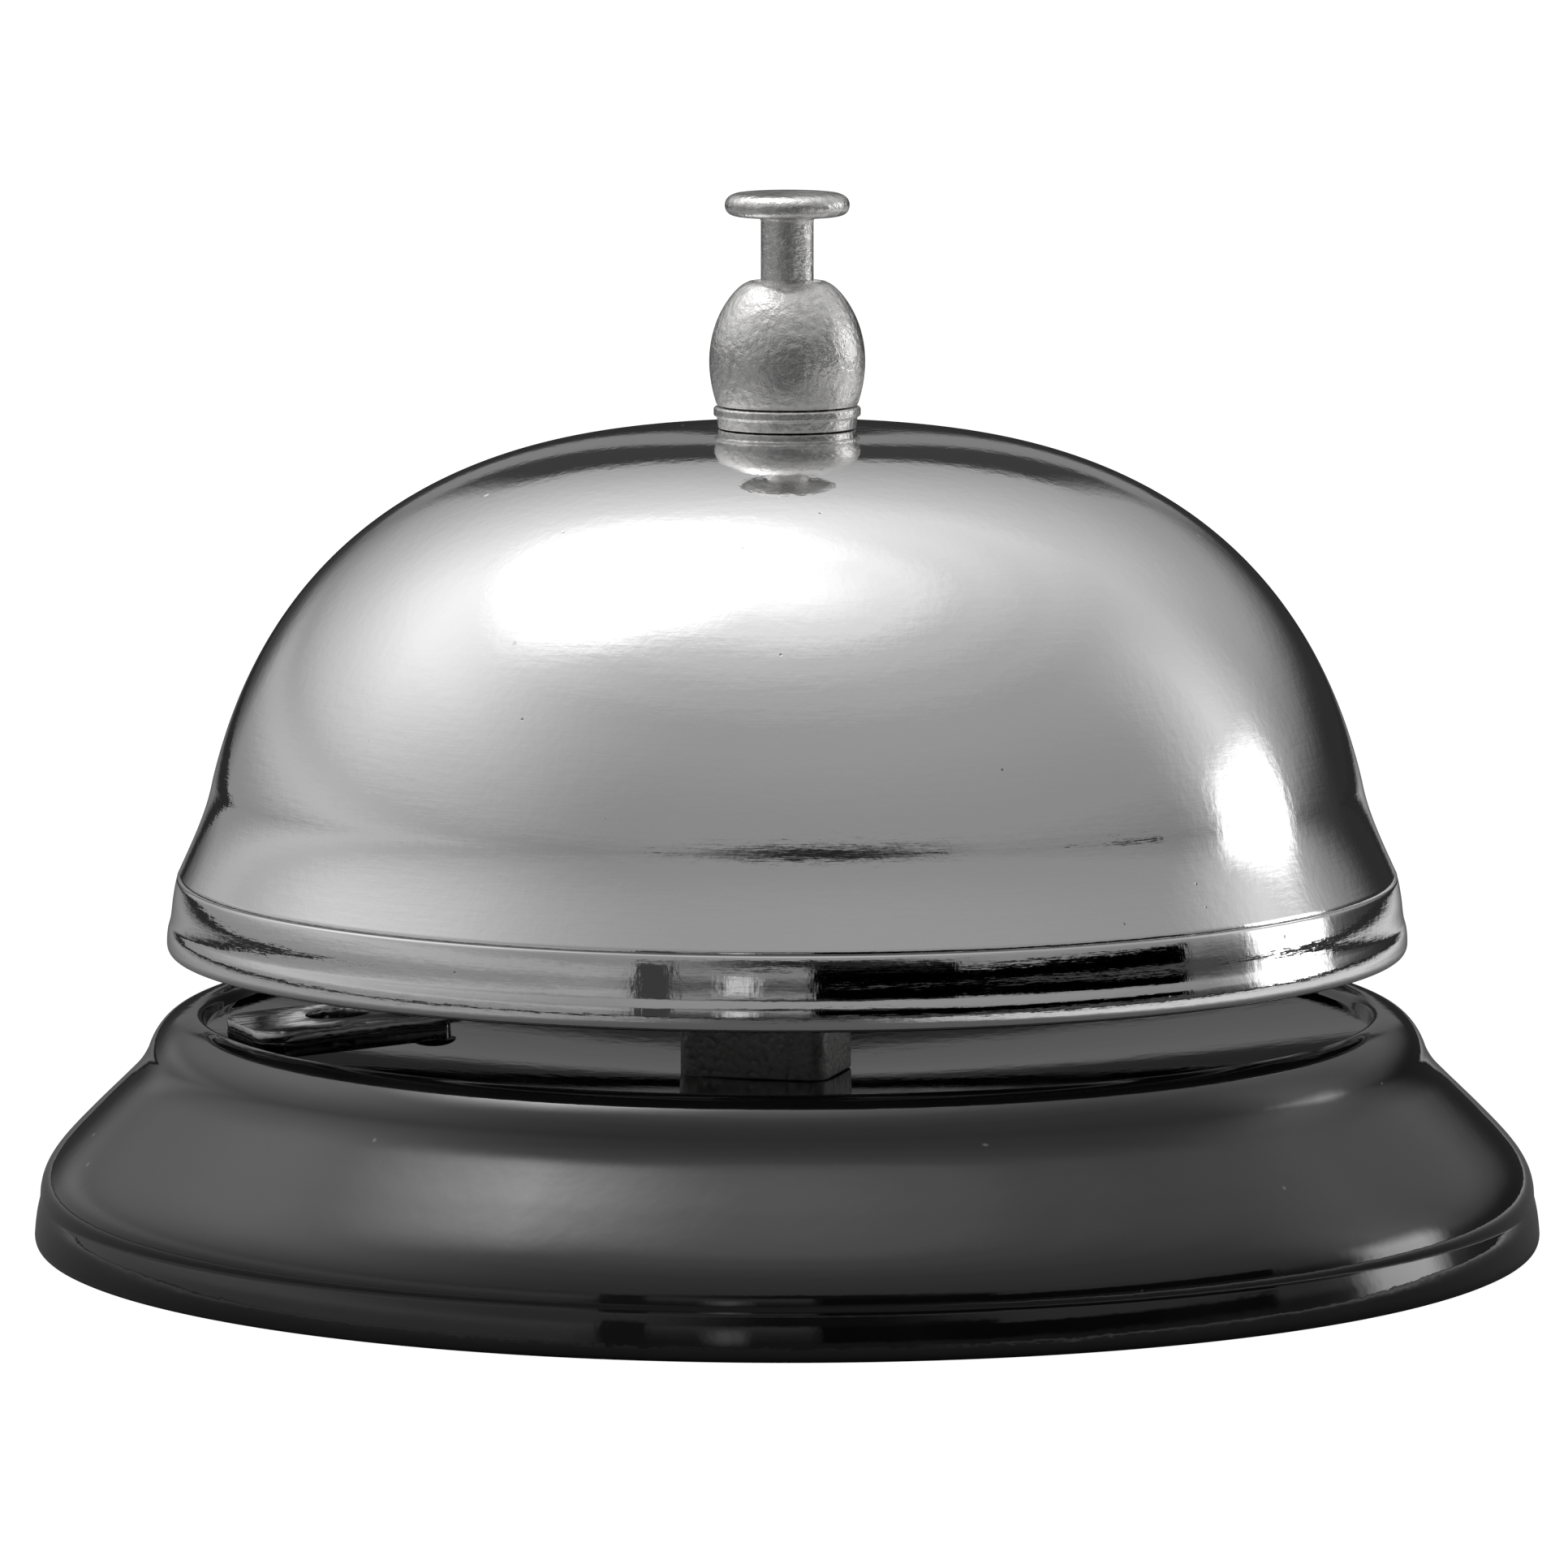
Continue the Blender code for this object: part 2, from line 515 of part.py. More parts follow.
# ---------------------------------------------------------------- plunger
def build_plunger(look):
    """Stem with its tip on the lever, and a flat button on top, turned in one piece."""
    top = BUTTON_Z + BUTTON_H
    rounding = BUTTON_EDGE
    outline = [(0.0, top), (BUTTON_R - rounding, top)]
    for start, level in ((math.pi / 2, top - rounding), (0.0, BUTTON_Z + rounding)):
        for step in range(1, EDGE_STEPS + 1):
            turn = start - math.pi / 2 * step / EDGE_STEPS
            outline.append((BUTTON_R - rounding + rounding * math.cos(turn),
                            level + rounding * math.sin(turn)))
    outline += [(STEM_R, BUTTON_Z), (STEM_R, PLUNGER_TIP_Z + TIP_H), (TIP_R, PLUNGER_TIP_Z),
                (0.0, PLUNGER_TIP_Z)]
    return finish_object("plunger", lathed(outline, ROUND_STEPS, on_axis=True), look)


def build_plunger_collar(look):
    """Collar fixed on the stem, between the spring and the roof of the post's bore."""
    outline = tube(STEM_R + SEAT_GAP, PLUNGER_COLLAR_R, PLUNGER_COLLAR_Z, PLUNGER_COLLAR_Z + PLUNGER_COLLAR_H)
    return finish_object("plunger_collar", lathed(outline, ROUND_STEPS), look)


def build_plunger_spring(look):
    """Coil spring round the stem, one closed sweep of wire."""
    count = SPRING_TURNS * SPRING_STEPS
    low = SPRING_BOTTOM_Z + SPRING_WIRE_R
    climb = SPRING_TOP_Z - SPRING_WIRE_R - low
    bm = bmesh.new()
    rings = []
    for step in range(count + 1):
        turn = math.tau * step / SPRING_STEPS
        outward = Vector((math.cos(turn), math.sin(turn), 0.0))
        centre = outward * SPRING_MEAN_R + Vector((0.0, 0.0, low + climb * step / count))
        ring = []
        for side in range(SPRING_SIDES):
            roll = math.tau * side / SPRING_SIDES
            offset = outward * math.cos(roll) + Vector((0.0, 0.0, math.sin(roll)))
            ring.append(bm.verts.new(centre + offset * SPRING_WIRE_R))
        rings.append(ring)
    for ring, following in zip(rings, rings[1:]):
        for side in range(SPRING_SIDES):
            after = (side + 1) % SPRING_SIDES
            bm.faces.new((ring[side], ring[after], following[after], following[side]))
    bm.faces.new(rings[0])
    bm.faces.new(rings[-1])
    return finish_object("plunger_spring", bm, look)


# ---------------------------------------------------------------- striker
def head_mid(radius):
    """Level of the middle of the arm's sheet along the head."""
    return HEAD_END_MID_Z + HEAD_RISE * (HEAD_END_R - radius)


def arm_line():
    """Middle line of the arm's sheet in the striker plane: tail, pivot, bend and head."""
    bend = HEAD_START_R - BEND_SETBACK
    return [(-ARM_TAIL, PIVOT_Z), (PIVOT_R + ARM_STRAIGHT, PIVOT_Z), (bend, head_mid(bend)),
            (HEAD_END_R, HEAD_END_MID_Z)]


def rest_level():
    """The slot's floor past the pin: the hanging arm lies on its edge."""
    shoulder, bend = arm_line()[1:3]
    slope = (bend[1] - shoulder[1]) / (bend[0] - shoulder[0])
    middle = shoulder[1] + slope * (FORK_END - shoulder[0])
    return middle - ARM_SHEET / 2 * math.hypot(1.0, slope) - SEAT_GAP


def sheet_outline(line, thickness):
    """Side view of a bent sheet: its middle line offset to both sides, mitred at the bends."""
    points = [Vector(point) for point in line]
    directions = [(b - a).normalized() for a, b in zip(points, points[1:])]
    upper = []
    lower = []
    for index, point in enumerate(points):
        before = directions[max(index - 1, 0)]
        after = directions[min(index, len(directions) - 1)]
        along = (before + after).normalized()
        across = Vector((-along.y, along.x))
        reach = thickness / 2 / along.dot(after)
        upper.append(point + across * reach)
        lower.append(point - across * reach)
    return upper + lower[::-1]


def bent_strip(line, thickness, half_width):
    """A bent sheet of constant width across the striker plane, in the pivot's frame."""
    points = [(p.x - PIVOT_R, -half_width, p.y - PIVOT_Z) for p in sheet_outline(line, thickness)]
    return extruded(points, (0.0, 2 * half_width, 0.0))


def head_plan(start, end, neck_end):
    """Upright prism with the striker's plan: narrow neck, wide head with round corners."""
    corner = HEAD_CORNER_R
    points = [(neck_end, NECK_HALF_W)]
    if neck_end < start:
        points.append((start - (HEAD_HALF_W - NECK_HALF_W), NECK_HALF_W))
    points.append((start, HEAD_HALF_W))
    for step in range(CORNER_STEPS + 1):
        turn = math.pi / 2 * (1 - step / CORNER_STEPS)
        points.append((end - corner + corner * math.cos(turn),
                       HEAD_HALF_W - corner + corner * math.sin(turn)))
    mirrored = [(x, -y) for x, y in reversed(points)]
    deep = HEAD_END_R
    outline = [(x - PIVOT_R, y, -deep) for x, y in points + mirrored]
    return extruded(outline, (0.0, 0.0, 2 * deep))


def build_striker_arm(look, pivot):
    """Bent arm: tail under the plunger, barrel on the pin, and the wide head."""
    strip = bent_strip(arm_line(), ARM_SHEET, HEAD_HALF_W + CUT_PAST)
    arm = finish_object("striker_arm", strip, look, pivot)
    cut(arm, head_plan(HEAD_START_R, HEAD_END_R, -ARM_TAIL - CUT_PAST), "INTERSECT")
    cut(arm, rod_along("Y", BARREL_R, (0.0, 0.0, 0.0), 2 * BARREL_HALF_W, 24), "UNION")
    cut(arm, rod_along("Y", PIN_R + RUN_GAP, (0.0, 0.0, 0.0), 4 * BARREL_HALF_W, 24))
    drill_head(arm)
    return arm


def drill_head(target):
    """The round hole in the head, and the rivets' holes."""
    level = head_mid(HOLE_AT) - PIVOT_Z
    cut(target, rod_along("Z", HOLE_R, (HOLE_AT - PIVOT_R, 0.0, level), HEAD_DRILL))
    for side in (-1, 1):
        place = (RIVET_AT - PIVOT_R, side * RIVET_HALF_SPACING, level)
        cut(target, rod_along("Z", RIVET_R + SEAT_GAP, place, HEAD_DRILL, 16))


def build_striker_weight(look, pivot):
    """Second layer under the head."""
    drop = ARM_SHEET / 2 + SEAT_GAP + WEIGHT_SHEET / 2
    start = HEAD_START_R + WEIGHT_SETBACK
    line = [(radius, head_mid(radius) - drop) for radius in (start, HEAD_END_R)]
    strip = bent_strip(line, WEIGHT_SHEET, HEAD_HALF_W + CUT_PAST)
    weight = finish_object("striker_weight", strip, look, pivot)
    cut(weight, head_plan(start, HEAD_END_R, start), "INTERSECT")
    drill_head(weight)
    return weight


def build_weight_rivets(look, pivot):
    """Two rivets through both layers, with a flat head at each end."""
    middle = head_mid(RIVET_AT) - (SEAT_GAP + WEIGHT_SHEET) / 2 - PIVOT_Z
    grip = (ARM_SHEET + SEAT_GAP + WEIGHT_SHEET) / 2 + SEAT_GAP + HEAD_RISE * RIVET_HEAD_R
    outline = []
    for level in (1, -1):
        head = [(0.0, grip + RIVET_HEAD_H), (RIVET_HEAD_R, grip + RIVET_HEAD_H), (RIVET_HEAD_R, grip),
                (RIVET_R, grip)][::level]
        outline += [(radius, level * height) for radius, height in head]
    for number, side in enumerate((-1, 1), 1):
        finish_object(f"weight_rivet_{number}", lathed(outline, 16, on_axis=True), look, pivot,
                      (RIVET_AT - PIVOT_R, side * RIVET_HALF_SPACING, middle))


def build_pivot_pin(look, line):
    """Pin through the fork, headed at one end."""
    cheek = FORK_HALF_W + SEAT_GAP
    far = cheek + CLIP_H + SEAT_GAP + PIN_END
    outline = [(0.0, far), (PIN_R, far), (PIN_R, -cheek), (CLIP_R, -cheek), (CLIP_R, -cheek - CLIP_H),
               (0.0, -cheek - CLIP_H)]
    pin = finish_object("pivot_pin", lathed(outline, 24, on_axis=True), look, line, (PIVOT_R, 0.0, PIVOT_Z))
    pin.rotation_euler = (math.pi / 2, 0.0, 0.0)
    return pin


def build_pivot_clip(look, line):
    """Retaining ring on the pin's plain end."""
    near = FORK_HALF_W + SEAT_GAP
    outline = tube(PIN_R + SEAT_GAP, CLIP_R, near, near + CLIP_H)
    clip = finish_object("pivot_clip", lathed(outline, 24), look, line, (PIVOT_R, 0.0, PIVOT_Z))
    clip.rotation_euler = (math.pi / 2, 0.0, 0.0)
    return clip


# ---------------------------------------------------------------- assembly
def main():
    """Builds every piece."""
    for old in list(bpy.data.objects):
        bpy.data.objects.remove(old, do_unlink=True)

    black = material("black_paint", (0.012, 0.012, 0.013), 0.12, 0.0)
    rubber = material("rubber", (0.03, 0.03, 0.03), 0.8, 0.0)
    zinc = material("zinc", (0.36, 0.36, 0.37), 0.55, 1.0)
    steel = material("steel", (0.55, 0.55, 0.56), 0.3, 1.0)
    chrome = material("chrome", (0.78, 0.78, 0.79), 0.06, 1.0)
    nickel = material("nickel", (0.62, 0.61, 0.59), 0.22, 1.0)
    fibre = material("fibre", (0.35, 0.08, 0.04), 0.7, 0.0)
    dark_steel = material("dark_steel", (0.25, 0.25, 0.26), 0.25, 1.0)

    line = empty("striker_line", (0.0, 0.0, 0.0), LINE_AZIMUTH)
    pivot = empty("striker_pivot", (PIVOT_R, 0.0, PIVOT_Z), 0.0, line)

    build_base(black)
    build_grip_ring(rubber)
    build_pedestal(zinc, line)
    build_pedestal_screws(steel)
    build_post(steel)
    build_washer("post_washer", POST_R + SEAT_GAP, POST_WASHER_R, FORK_TOP_Z + SEAT_GAP, steel)
    build_jam_nut(steel, line)
    build_washer("crown_washer", NECK_HOLE_R, CROWN_WASHER_R, CROWN_WASHER_Z, fibre)
    build_bell(chrome)
    ring = tube(NECK_HOLE_R, COLLAR_RING_R, COLLAR_RING_Z, COLLAR_RING_Z + COLLAR_RING_H)
    finish_object("collar_ring", lathed(ring, 48), nickel)
    build_cap_nut(nickel)
    build_plunger(nickel)
    build_plunger_collar(steel)
    build_plunger_spring(steel)
    build_striker_arm(dark_steel, pivot)
    build_striker_weight(dark_steel, pivot)
    build_weight_rivets(steel, pivot)
    build_pivot_pin(steel, line)
    build_pivot_clip(steel, line)


main()
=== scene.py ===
"""Looks of the desk call bell: chromed bell, satin nickel knob and button, gloss black base.

Outlines are in millimetres and become metres when a piece is finished. Levels and reaches come
from the CAD pieces. Angles round the bell start at the front, -Y, and grow towards +X.
"""
import json
import math

import bmesh
import bpy
from mathutils import Matrix, Vector
from mathutils.geometry import interpolate_bezier


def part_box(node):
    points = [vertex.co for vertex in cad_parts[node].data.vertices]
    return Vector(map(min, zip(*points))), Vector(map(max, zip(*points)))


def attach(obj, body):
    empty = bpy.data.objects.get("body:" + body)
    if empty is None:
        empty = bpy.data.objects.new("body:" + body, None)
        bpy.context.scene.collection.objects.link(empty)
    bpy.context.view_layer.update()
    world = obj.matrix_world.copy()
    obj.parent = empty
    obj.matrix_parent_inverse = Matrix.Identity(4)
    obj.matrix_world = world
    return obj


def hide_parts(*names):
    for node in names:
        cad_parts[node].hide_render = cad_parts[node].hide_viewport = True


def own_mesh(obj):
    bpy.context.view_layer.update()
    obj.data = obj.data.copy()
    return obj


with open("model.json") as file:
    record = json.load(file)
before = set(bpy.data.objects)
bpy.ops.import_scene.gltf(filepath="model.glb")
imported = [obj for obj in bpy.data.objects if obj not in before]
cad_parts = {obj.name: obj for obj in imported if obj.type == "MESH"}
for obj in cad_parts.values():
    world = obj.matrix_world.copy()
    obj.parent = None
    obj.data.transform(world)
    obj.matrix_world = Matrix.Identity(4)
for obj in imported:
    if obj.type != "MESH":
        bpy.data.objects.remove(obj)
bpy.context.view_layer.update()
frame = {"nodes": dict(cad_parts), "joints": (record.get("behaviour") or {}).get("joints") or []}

MM = 0.001
SEAT = 0.04              # what shows between two seated pieces, mm


# ---------------------------------------------------------------- sizes from the CAD pieces
def box_mm(node):
    """Lowest and highest corner of a CAD piece, in millimetres."""
    low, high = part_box(node)
    return low / MM, high / MM


def joint(name):
    """A joint of the frame by its name."""
    return next(item for item in frame["joints"] if item["name"] == name)


SWING = joint("striker_swing")
PIVOT = Vector(SWING["pos_m"]) / MM
LINE_OUTWARD = PIVOT.xy.normalized()
LINE_TURN = math.atan2(LINE_OUTWARD.y, LINE_OUTWARD.x)
LINE_PLACE = Matrix.Rotation(LINE_TURN, 4, "Z")
PIVOT_R = PIVOT.xy.length
PIVOT_Z = PIVOT.z


def line_box_mm(node):
    """A CAD piece's box in the striker's own line: X outward, Y across, Z up."""
    back = LINE_PLACE.inverted()
    places = [back @ (vert.co / MM) for vert in frame["nodes"][node].data.vertices]
    return tuple(Vector([pick(place[axis] for place in places) for axis in range(3)])
                 for pick in (min, max))


BELL_LOW, BELL_HIGH = box_mm("bell")
BASE_HIGH = box_mm("base_shell")[1]
GRIP_HIGH = box_mm("grip_ring")[1]
POST_LOW, POST_HIGH = box_mm("post")
POST_WASHER_HIGH = box_mm("post_washer")[1]
CROWN_WASHER_LOW, CROWN_WASHER_HIGH = box_mm("crown_washer")
NUT_HIGH = box_mm("jam_nut")[1]
RING_HIGH = box_mm("collar_ring")[1]
CAP_LOW, CAP_HIGH = box_mm("cap_nut")
PLUNGER_LOW, PLUNGER_HIGH = box_mm("plunger")
COLLAR_LOW, COLLAR_HIGH = box_mm("plunger_collar")
SPRING_LOW, SPRING_HIGH = box_mm("plunger_spring")
FORK_LOW, FORK_HIGH = line_box_mm("pedestal")
ARM_LOW, ARM_HIGH = line_box_mm("striker_arm")
PIN_LOW, PIN_HIGH = line_box_mm("pivot_pin")
CLIP_LOW, CLIP_HIGH = line_box_mm("pivot_clip")

BELL_RIM_R = BELL_HIGH.x
CROWN_Z = BELL_HIGH.z
BASE_R = BASE_HIGH.x
HEAD_END = ARM_HIGH.x
LIP_R = HEAD_END + 0.3
LIP_Z = BASE_HIGH.z - 0.9
BOWL_Z = LIP_Z - 2.8
BOWL_SLOPE = 0.137       # of the bowl where it meets the lip
BELL_WALL = 0.8
BASE_SHEET = 0.85
NECK_R = 3.0             # threaded neck of the post
STEM_R = 1.48
GUIDE_R = 1.72           # bores that guide the stem
PIN_R = 1.0
PIN_HEAD_R = 2.1
BIG_TURN = 288           # steps round the bell and the base
KNOB_TURN = 160


# ---------------------------------------------------------------- node helpers
class Wiring:
    """Adds shader nodes to a tree and joins them."""

    def __init__(self, tree):
        self.tree = tree

    def add(self, kind, sockets=None, **settings):
        """A new node, with its sockets joined or set, and its own settings."""
        node = self.tree.nodes.new("ShaderNode" + kind)
        for key, value in settings.items():
            setattr(node, key, value)
        for key, value in (sockets or {}).items():
            self.join(node.inputs[key], value)
        return node

    def join(self, socket, value):
        """Links a node's output to the socket, or sets the socket's own value."""
        if isinstance(value, bpy.types.NodeSocket):
            self.tree.links.new(value, socket)
        else:
            socket.default_value = value

    def math(self, operation, a, b=0.0, clamp=False):
        """The result of one sum."""
        return self.add("Math", {0: a, 1: b}, operation=operation, use_clamp=clamp).outputs[0]

    def remap(self, value, start, end, low=0.0, high=1.0, smooth=True):
        """Carries start..end over to low..high, and holds it there."""
        kind = "SMOOTHSTEP" if smooth else "LINEAR"
        sockets = {"Value": value, "From Min": start, "From Max": end, "To Min": low, "To Max": high}
        return self.add("MapRange", sockets, interpolation_type=kind, clamp=True).outputs["Result"]

    def mix(self, factor, a, b):
        """From number a to number b by factor."""
        node = self.add("Mix", data_type="FLOAT")
        for index, value in ((0, factor), (2, a), (3, b)):
            self.join(node.inputs[index], value)
        return node.outputs[0]

    def mix_colour(self, factor, a, b):
        """From colour a to colour b by factor."""
        node = self.add("Mix", data_type="RGBA")
        for index, value in ((0, factor), (6, a), (7, b)):
            self.join(node.inputs[index], value)
        return node.outputs[2]

    def noise(self, vector, scale, detail=2.0, roughness=0.5, distortion=0.0):
        """Cloudy noise from 0 to 1."""
        sockets = {"Vector": vector, "Scale": scale, "Detail": detail, "Roughness": roughness,
                   "Distortion": distortion}
        return self.add("TexNoise", sockets).outputs["Fac"]

    def stretched(self, vector, scale, turn=(0.0, 0.0, 0.0)):
        """Places that are turned and scaled, so a pattern on them is drawn out."""
        return self.add("Mapping", {"Vector": vector, "Scale": scale, "Rotation": turn}).outputs[0]

    def use(self, group, **sockets):
        """A shared effect with its own values."""
        node = self.add("Group", node_tree=group)
        for key, value in sockets.items():
            self.join(node.inputs[key.replace("_", " ")], value)
        return node


def shader_group(name, inputs, outputs):
    """A new node group with named inputs, their defaults, and named outputs."""
    group = bpy.data.node_groups.new(name, "ShaderNodeTree")
    for label, value in inputs.items():
        kind = "NodeSocketVector" if value is None else "NodeSocketFloat"
        socket = group.interface.new_socket(name=label, in_out="INPUT", socket_type=kind)
        if value is not None:
            socket.default_value = value
    for label in outputs:
        group.interface.new_socket(name=label, in_out="OUTPUT", socket_type="NodeSocketFloat")
    source = group.nodes.new("NodeGroupInput")
    sink = group.nodes.new("NodeGroupOutput")
    return group, Wiring(group), source.outputs, sink.inputs


# ---------------------------------------------------------------- shared surface effects
def group_specks():
    """Small grains of dust or pits, each in its own cell, with a random few kept."""
    group, wire, given, out = shader_group(
        "specks", {"Place": None, "Scale": 400.0, "Size": 0.12, "Share": 0.25}, ["Mask"])
    node = wire.add("TexVoronoi", {"Vector": given["Place"], "Scale": given["Scale"]}, feature="F1")
    near = wire.math("SUBTRACT", given["Size"], node.outputs["Distance"])
    spot = wire.remap(near, 0.0, 0.04)
    pick = wire.add("TexWhiteNoise", {"Vector": node.outputs["Position"]}).outputs["Value"]
    kept = wire.math("LESS_THAN", pick, given["Share"])
    wire.join(out["Mask"], wire.math("MULTIPLY", spot, kept))
    return group


def group_grain():
    """Cast or blasted grain: soft lumps with finer grain on them."""
    group, wire, given, out = shader_group(
        "grain", {"Place": None, "Scale": 2000.0, "Coarse": 0.6}, ["Height", "Hollows"])
    cells = wire.add("TexVoronoi", {"Vector": given["Place"], "Scale": given["Scale"]},
                     feature="SMOOTH_F1")
    finer = wire.math("MULTIPLY", given["Scale"], 2.7)
    fine = wire.noise(given["Place"], finer, 3.0, 0.6)
    height = wire.mix(given["Coarse"], fine, wire.math("SUBTRACT", 1.0, cells.outputs["Distance"]))
    wire.join(out["Height"], height)
    wire.join(out["Hollows"], wire.remap(height, 0.55, 0.3))
    return group


def group_edge_wear():
    """Where a surface turns sharply, broken up by noise."""
    group, wire, given, out = shader_group(
        "edge_wear", {"Place": None, "Radius": 0.0002, "Amount": 0.5, "Break Up": 900.0}, ["Mask"])
    soft = wire.add("Bevel", {"Radius": given["Radius"]}, samples=6).outputs["Normal"]
    true = wire.add("NewGeometry").outputs["Normal"]
    meet = wire.add("VectorMath", {0: soft, 1: true}, operation="DOT_PRODUCT").outputs["Value"]
    turned_away = wire.math("SUBTRACT", 1.0, meet)
    edge = wire.remap(turned_away, 0.01, 0.12)
    patchy = wire.remap(wire.noise(given["Place"], given["Break Up"], 3.0, 0.6), 0.35, 0.65)
    worn = wire.math("MULTIPLY", edge, patchy)
    wire.join(out["Mask"], wire.math("MULTIPLY", worn, given["Amount"], clamp=True))
    return group


def group_wavy_skin():
    """Slow waves and a finer peel, as on plated or stoved sheet."""
    group, wire, given, out = shader_group(
        "wavy_skin", {"Place": None, "Wave": 90.0, "Peel": 700.0, "Share": 0.3}, ["Height"])
    slow = wire.noise(given["Place"], given["Wave"], 1.0, 0.4)
    fine = wire.noise(given["Place"], given["Peel"], 2.0, 0.5)
    wire.join(out["Height"], wire.mix(given["Share"], slow, fine))
    return group


def group_streaks():
    """Fine lines that run up and down the wall."""
    group, wire, given, out = shader_group(
        "streaks", {"Place": None, "Scale": 2500.0, "Length": 0.04}, ["Height", "Mask"])
    squeeze = wire.add("CombineXYZ", {"X": 1.0, "Y": 1.0, "Z": given["Length"]}).outputs[0]
    place = wire.add("VectorMath", {0: given["Place"], 1: squeeze}, operation="MULTIPLY").outputs[0]
    lines = wire.noise(place, given["Scale"], 3.0, 0.65)
    wire.join(out["Height"], lines)
    wire.join(out["Mask"], wire.remap(lines, 0.4, 0.7))
    return group


def group_turning():
    """Rings left by the lathe, counted along the axis and the radius."""
    group, wire, given, out = shader_group(
        "turning", {"Place": None, "Pitch": 0.00012, "Uneven": 0.4}, ["Height"])
    parts = wire.add("SeparateXYZ", {0: given["Place"]}).outputs
    flat = wire.add("CombineXYZ", {"X": parts["X"], "Y": parts["Y"]}).outputs[0]
    radius = wire.add("VectorMath", {0: flat}, operation="LENGTH").outputs["Value"]
    along = wire.math("ADD", radius, parts["Z"])
    turns = wire.math("DIVIDE", along, given["Pitch"])
    line = wire.add("CombineXYZ", {"X": turns}).outputs[0]
    rings = wire.noise(line, 1.0, 3.0, 0.7)
    patches = wire.noise(given["Place"], 500.0, 2.0)
    wire.join(out["Height"], wire.mix(given["Uneven"], rings, patches))
    return group


SPECKS = group_specks()
GRAIN = group_grain()
EDGE_WEAR = group_edge_wear()
WAVY_SKIN = group_wavy_skin()
STREAKS = group_streaks()
TURNING = group_turning()


# ---------------------------------------------------------------- materials
def new_look(name, **fixed):
    """A material with its Principled shader; fixed values go on the shader's own sockets."""
    look = bpy.data.materials.new(name)
    look.use_nodes = True
    wire = Wiring(look.node_tree)
    shader = look.node_tree.nodes["Principled BSDF"]
    for label, value in fixed.items():
        shader.inputs[label.replace("_", " ")].default_value = value
    place = wire.add("TexCoord").outputs["Object"]
    return look, wire, shader.inputs, place


def grey(value, warmth=0.0):
    """A near neutral colour."""
    return (value * (1.0 + warmth), value, value * (1.0 - warmth), 1.0)


def bump(wire, shader, *layers):
    """Stacks height layers, each (height, depth in metres, strength), into the shader's normal."""
    normal = None
    for height, depth, strength in layers:
        sockets = {"Height": height, "Distance": depth, "Strength": strength}
        if normal is not None:
            sockets["Normal"] = normal
        normal = wire.add("Bump", sockets).outputs["Normal"]
    wire.join(shader["Normal"], normal)


def chrome_plate():
    """Bright chrome with a slightly wavy skin, fine lines up the wall, and a little dust."""
    look, wire, shader, place = new_look("chrome_plate", Metallic=1.0)
    skin = wire.use(WAVY_SKIN, Place=place, Wave=160.0, Peel=1500.0, Share=0.25).outputs["Height"]
    lines = wire.use(STREAKS, Place=place, Scale=2600.0, Length=0.1)
    spun = wire.use(STREAKS, Place=place, Scale=300.0, Length=10.0).outputs["Height"]
    dust = wire.use(SPECKS, Place=place, Scale=330.0, Size=0.07, Share=0.22).outputs["Mask"]
    pits = wire.use(SPECKS, Place=place, Scale=900.0, Size=0.09, Share=0.04).outputs["Mask"]
    haze = wire.remap(wire.noise(place, 60.0, 3.0, 0.6), 0.35, 0.75, 0.035, 0.06)
    rough = wire.mix(dust, wire.math("MULTIPLY", lines.outputs["Mask"], 0.012), 0.4)
    wire.join(shader["Roughness"], wire.math("ADD", rough, haze))
    clean = wire.mix_colour(wire.noise(place, 35.0, 2.0), grey(0.76), grey(0.80))
    dusty = wire.mix_colour(wire.math("MULTIPLY", dust, 0.6), clean, grey(0.95))
    wire.join(shader["Base Color"], wire.mix_colour(pits, dusty, grey(0.3)))
    wire.join(shader["Metallic"], wire.math("SUBTRACT", 1.0, wire.math("MULTIPLY", dust, 0.7)))
    bump(wire, shader, (skin, 0.00004, 0.8), (lines.outputs["Height"], 0.000004, 0.8),
         (spun, 0.000006, 1.0), (pits, -0.00002, 0.5))
    return look


def satin_nickel():
    """Dull nickel plate over a cast skin."""
    look, wire, shader, place = new_look("satin_nickel", Metallic=1.0)
    grain = wire.use(GRAIN, Place=place, Scale=2600.0, Coarse=0.55)
    wear = wire.use(EDGE_WEAR, Place=place, Radius=0.00025, Amount=0.6, Break_Up=2500.0)
    patches = wire.noise(place, 420.0, 3.0, 0.6)
    tone = wire.mix_colour(patches, grey(0.74, 0.01), grey(0.88, 0.01))
    dull = wire.mix_colour(wire.math("MULTIPLY", grain.outputs["Hollows"], 0.45), tone, grey(0.45))
    wire.join(shader["Base Color"], wire.mix_colour(wear.outputs["Mask"], dull, grey(0.95)))
    wire.join(shader["Roughness"], wire.remap(patches, 0.3, 0.7, 0.18, 0.28))
    bump(wire, shader, (grain.outputs["Height"], 0.00012, 0.7), (patches, 0.00014, 0.6))
    return look


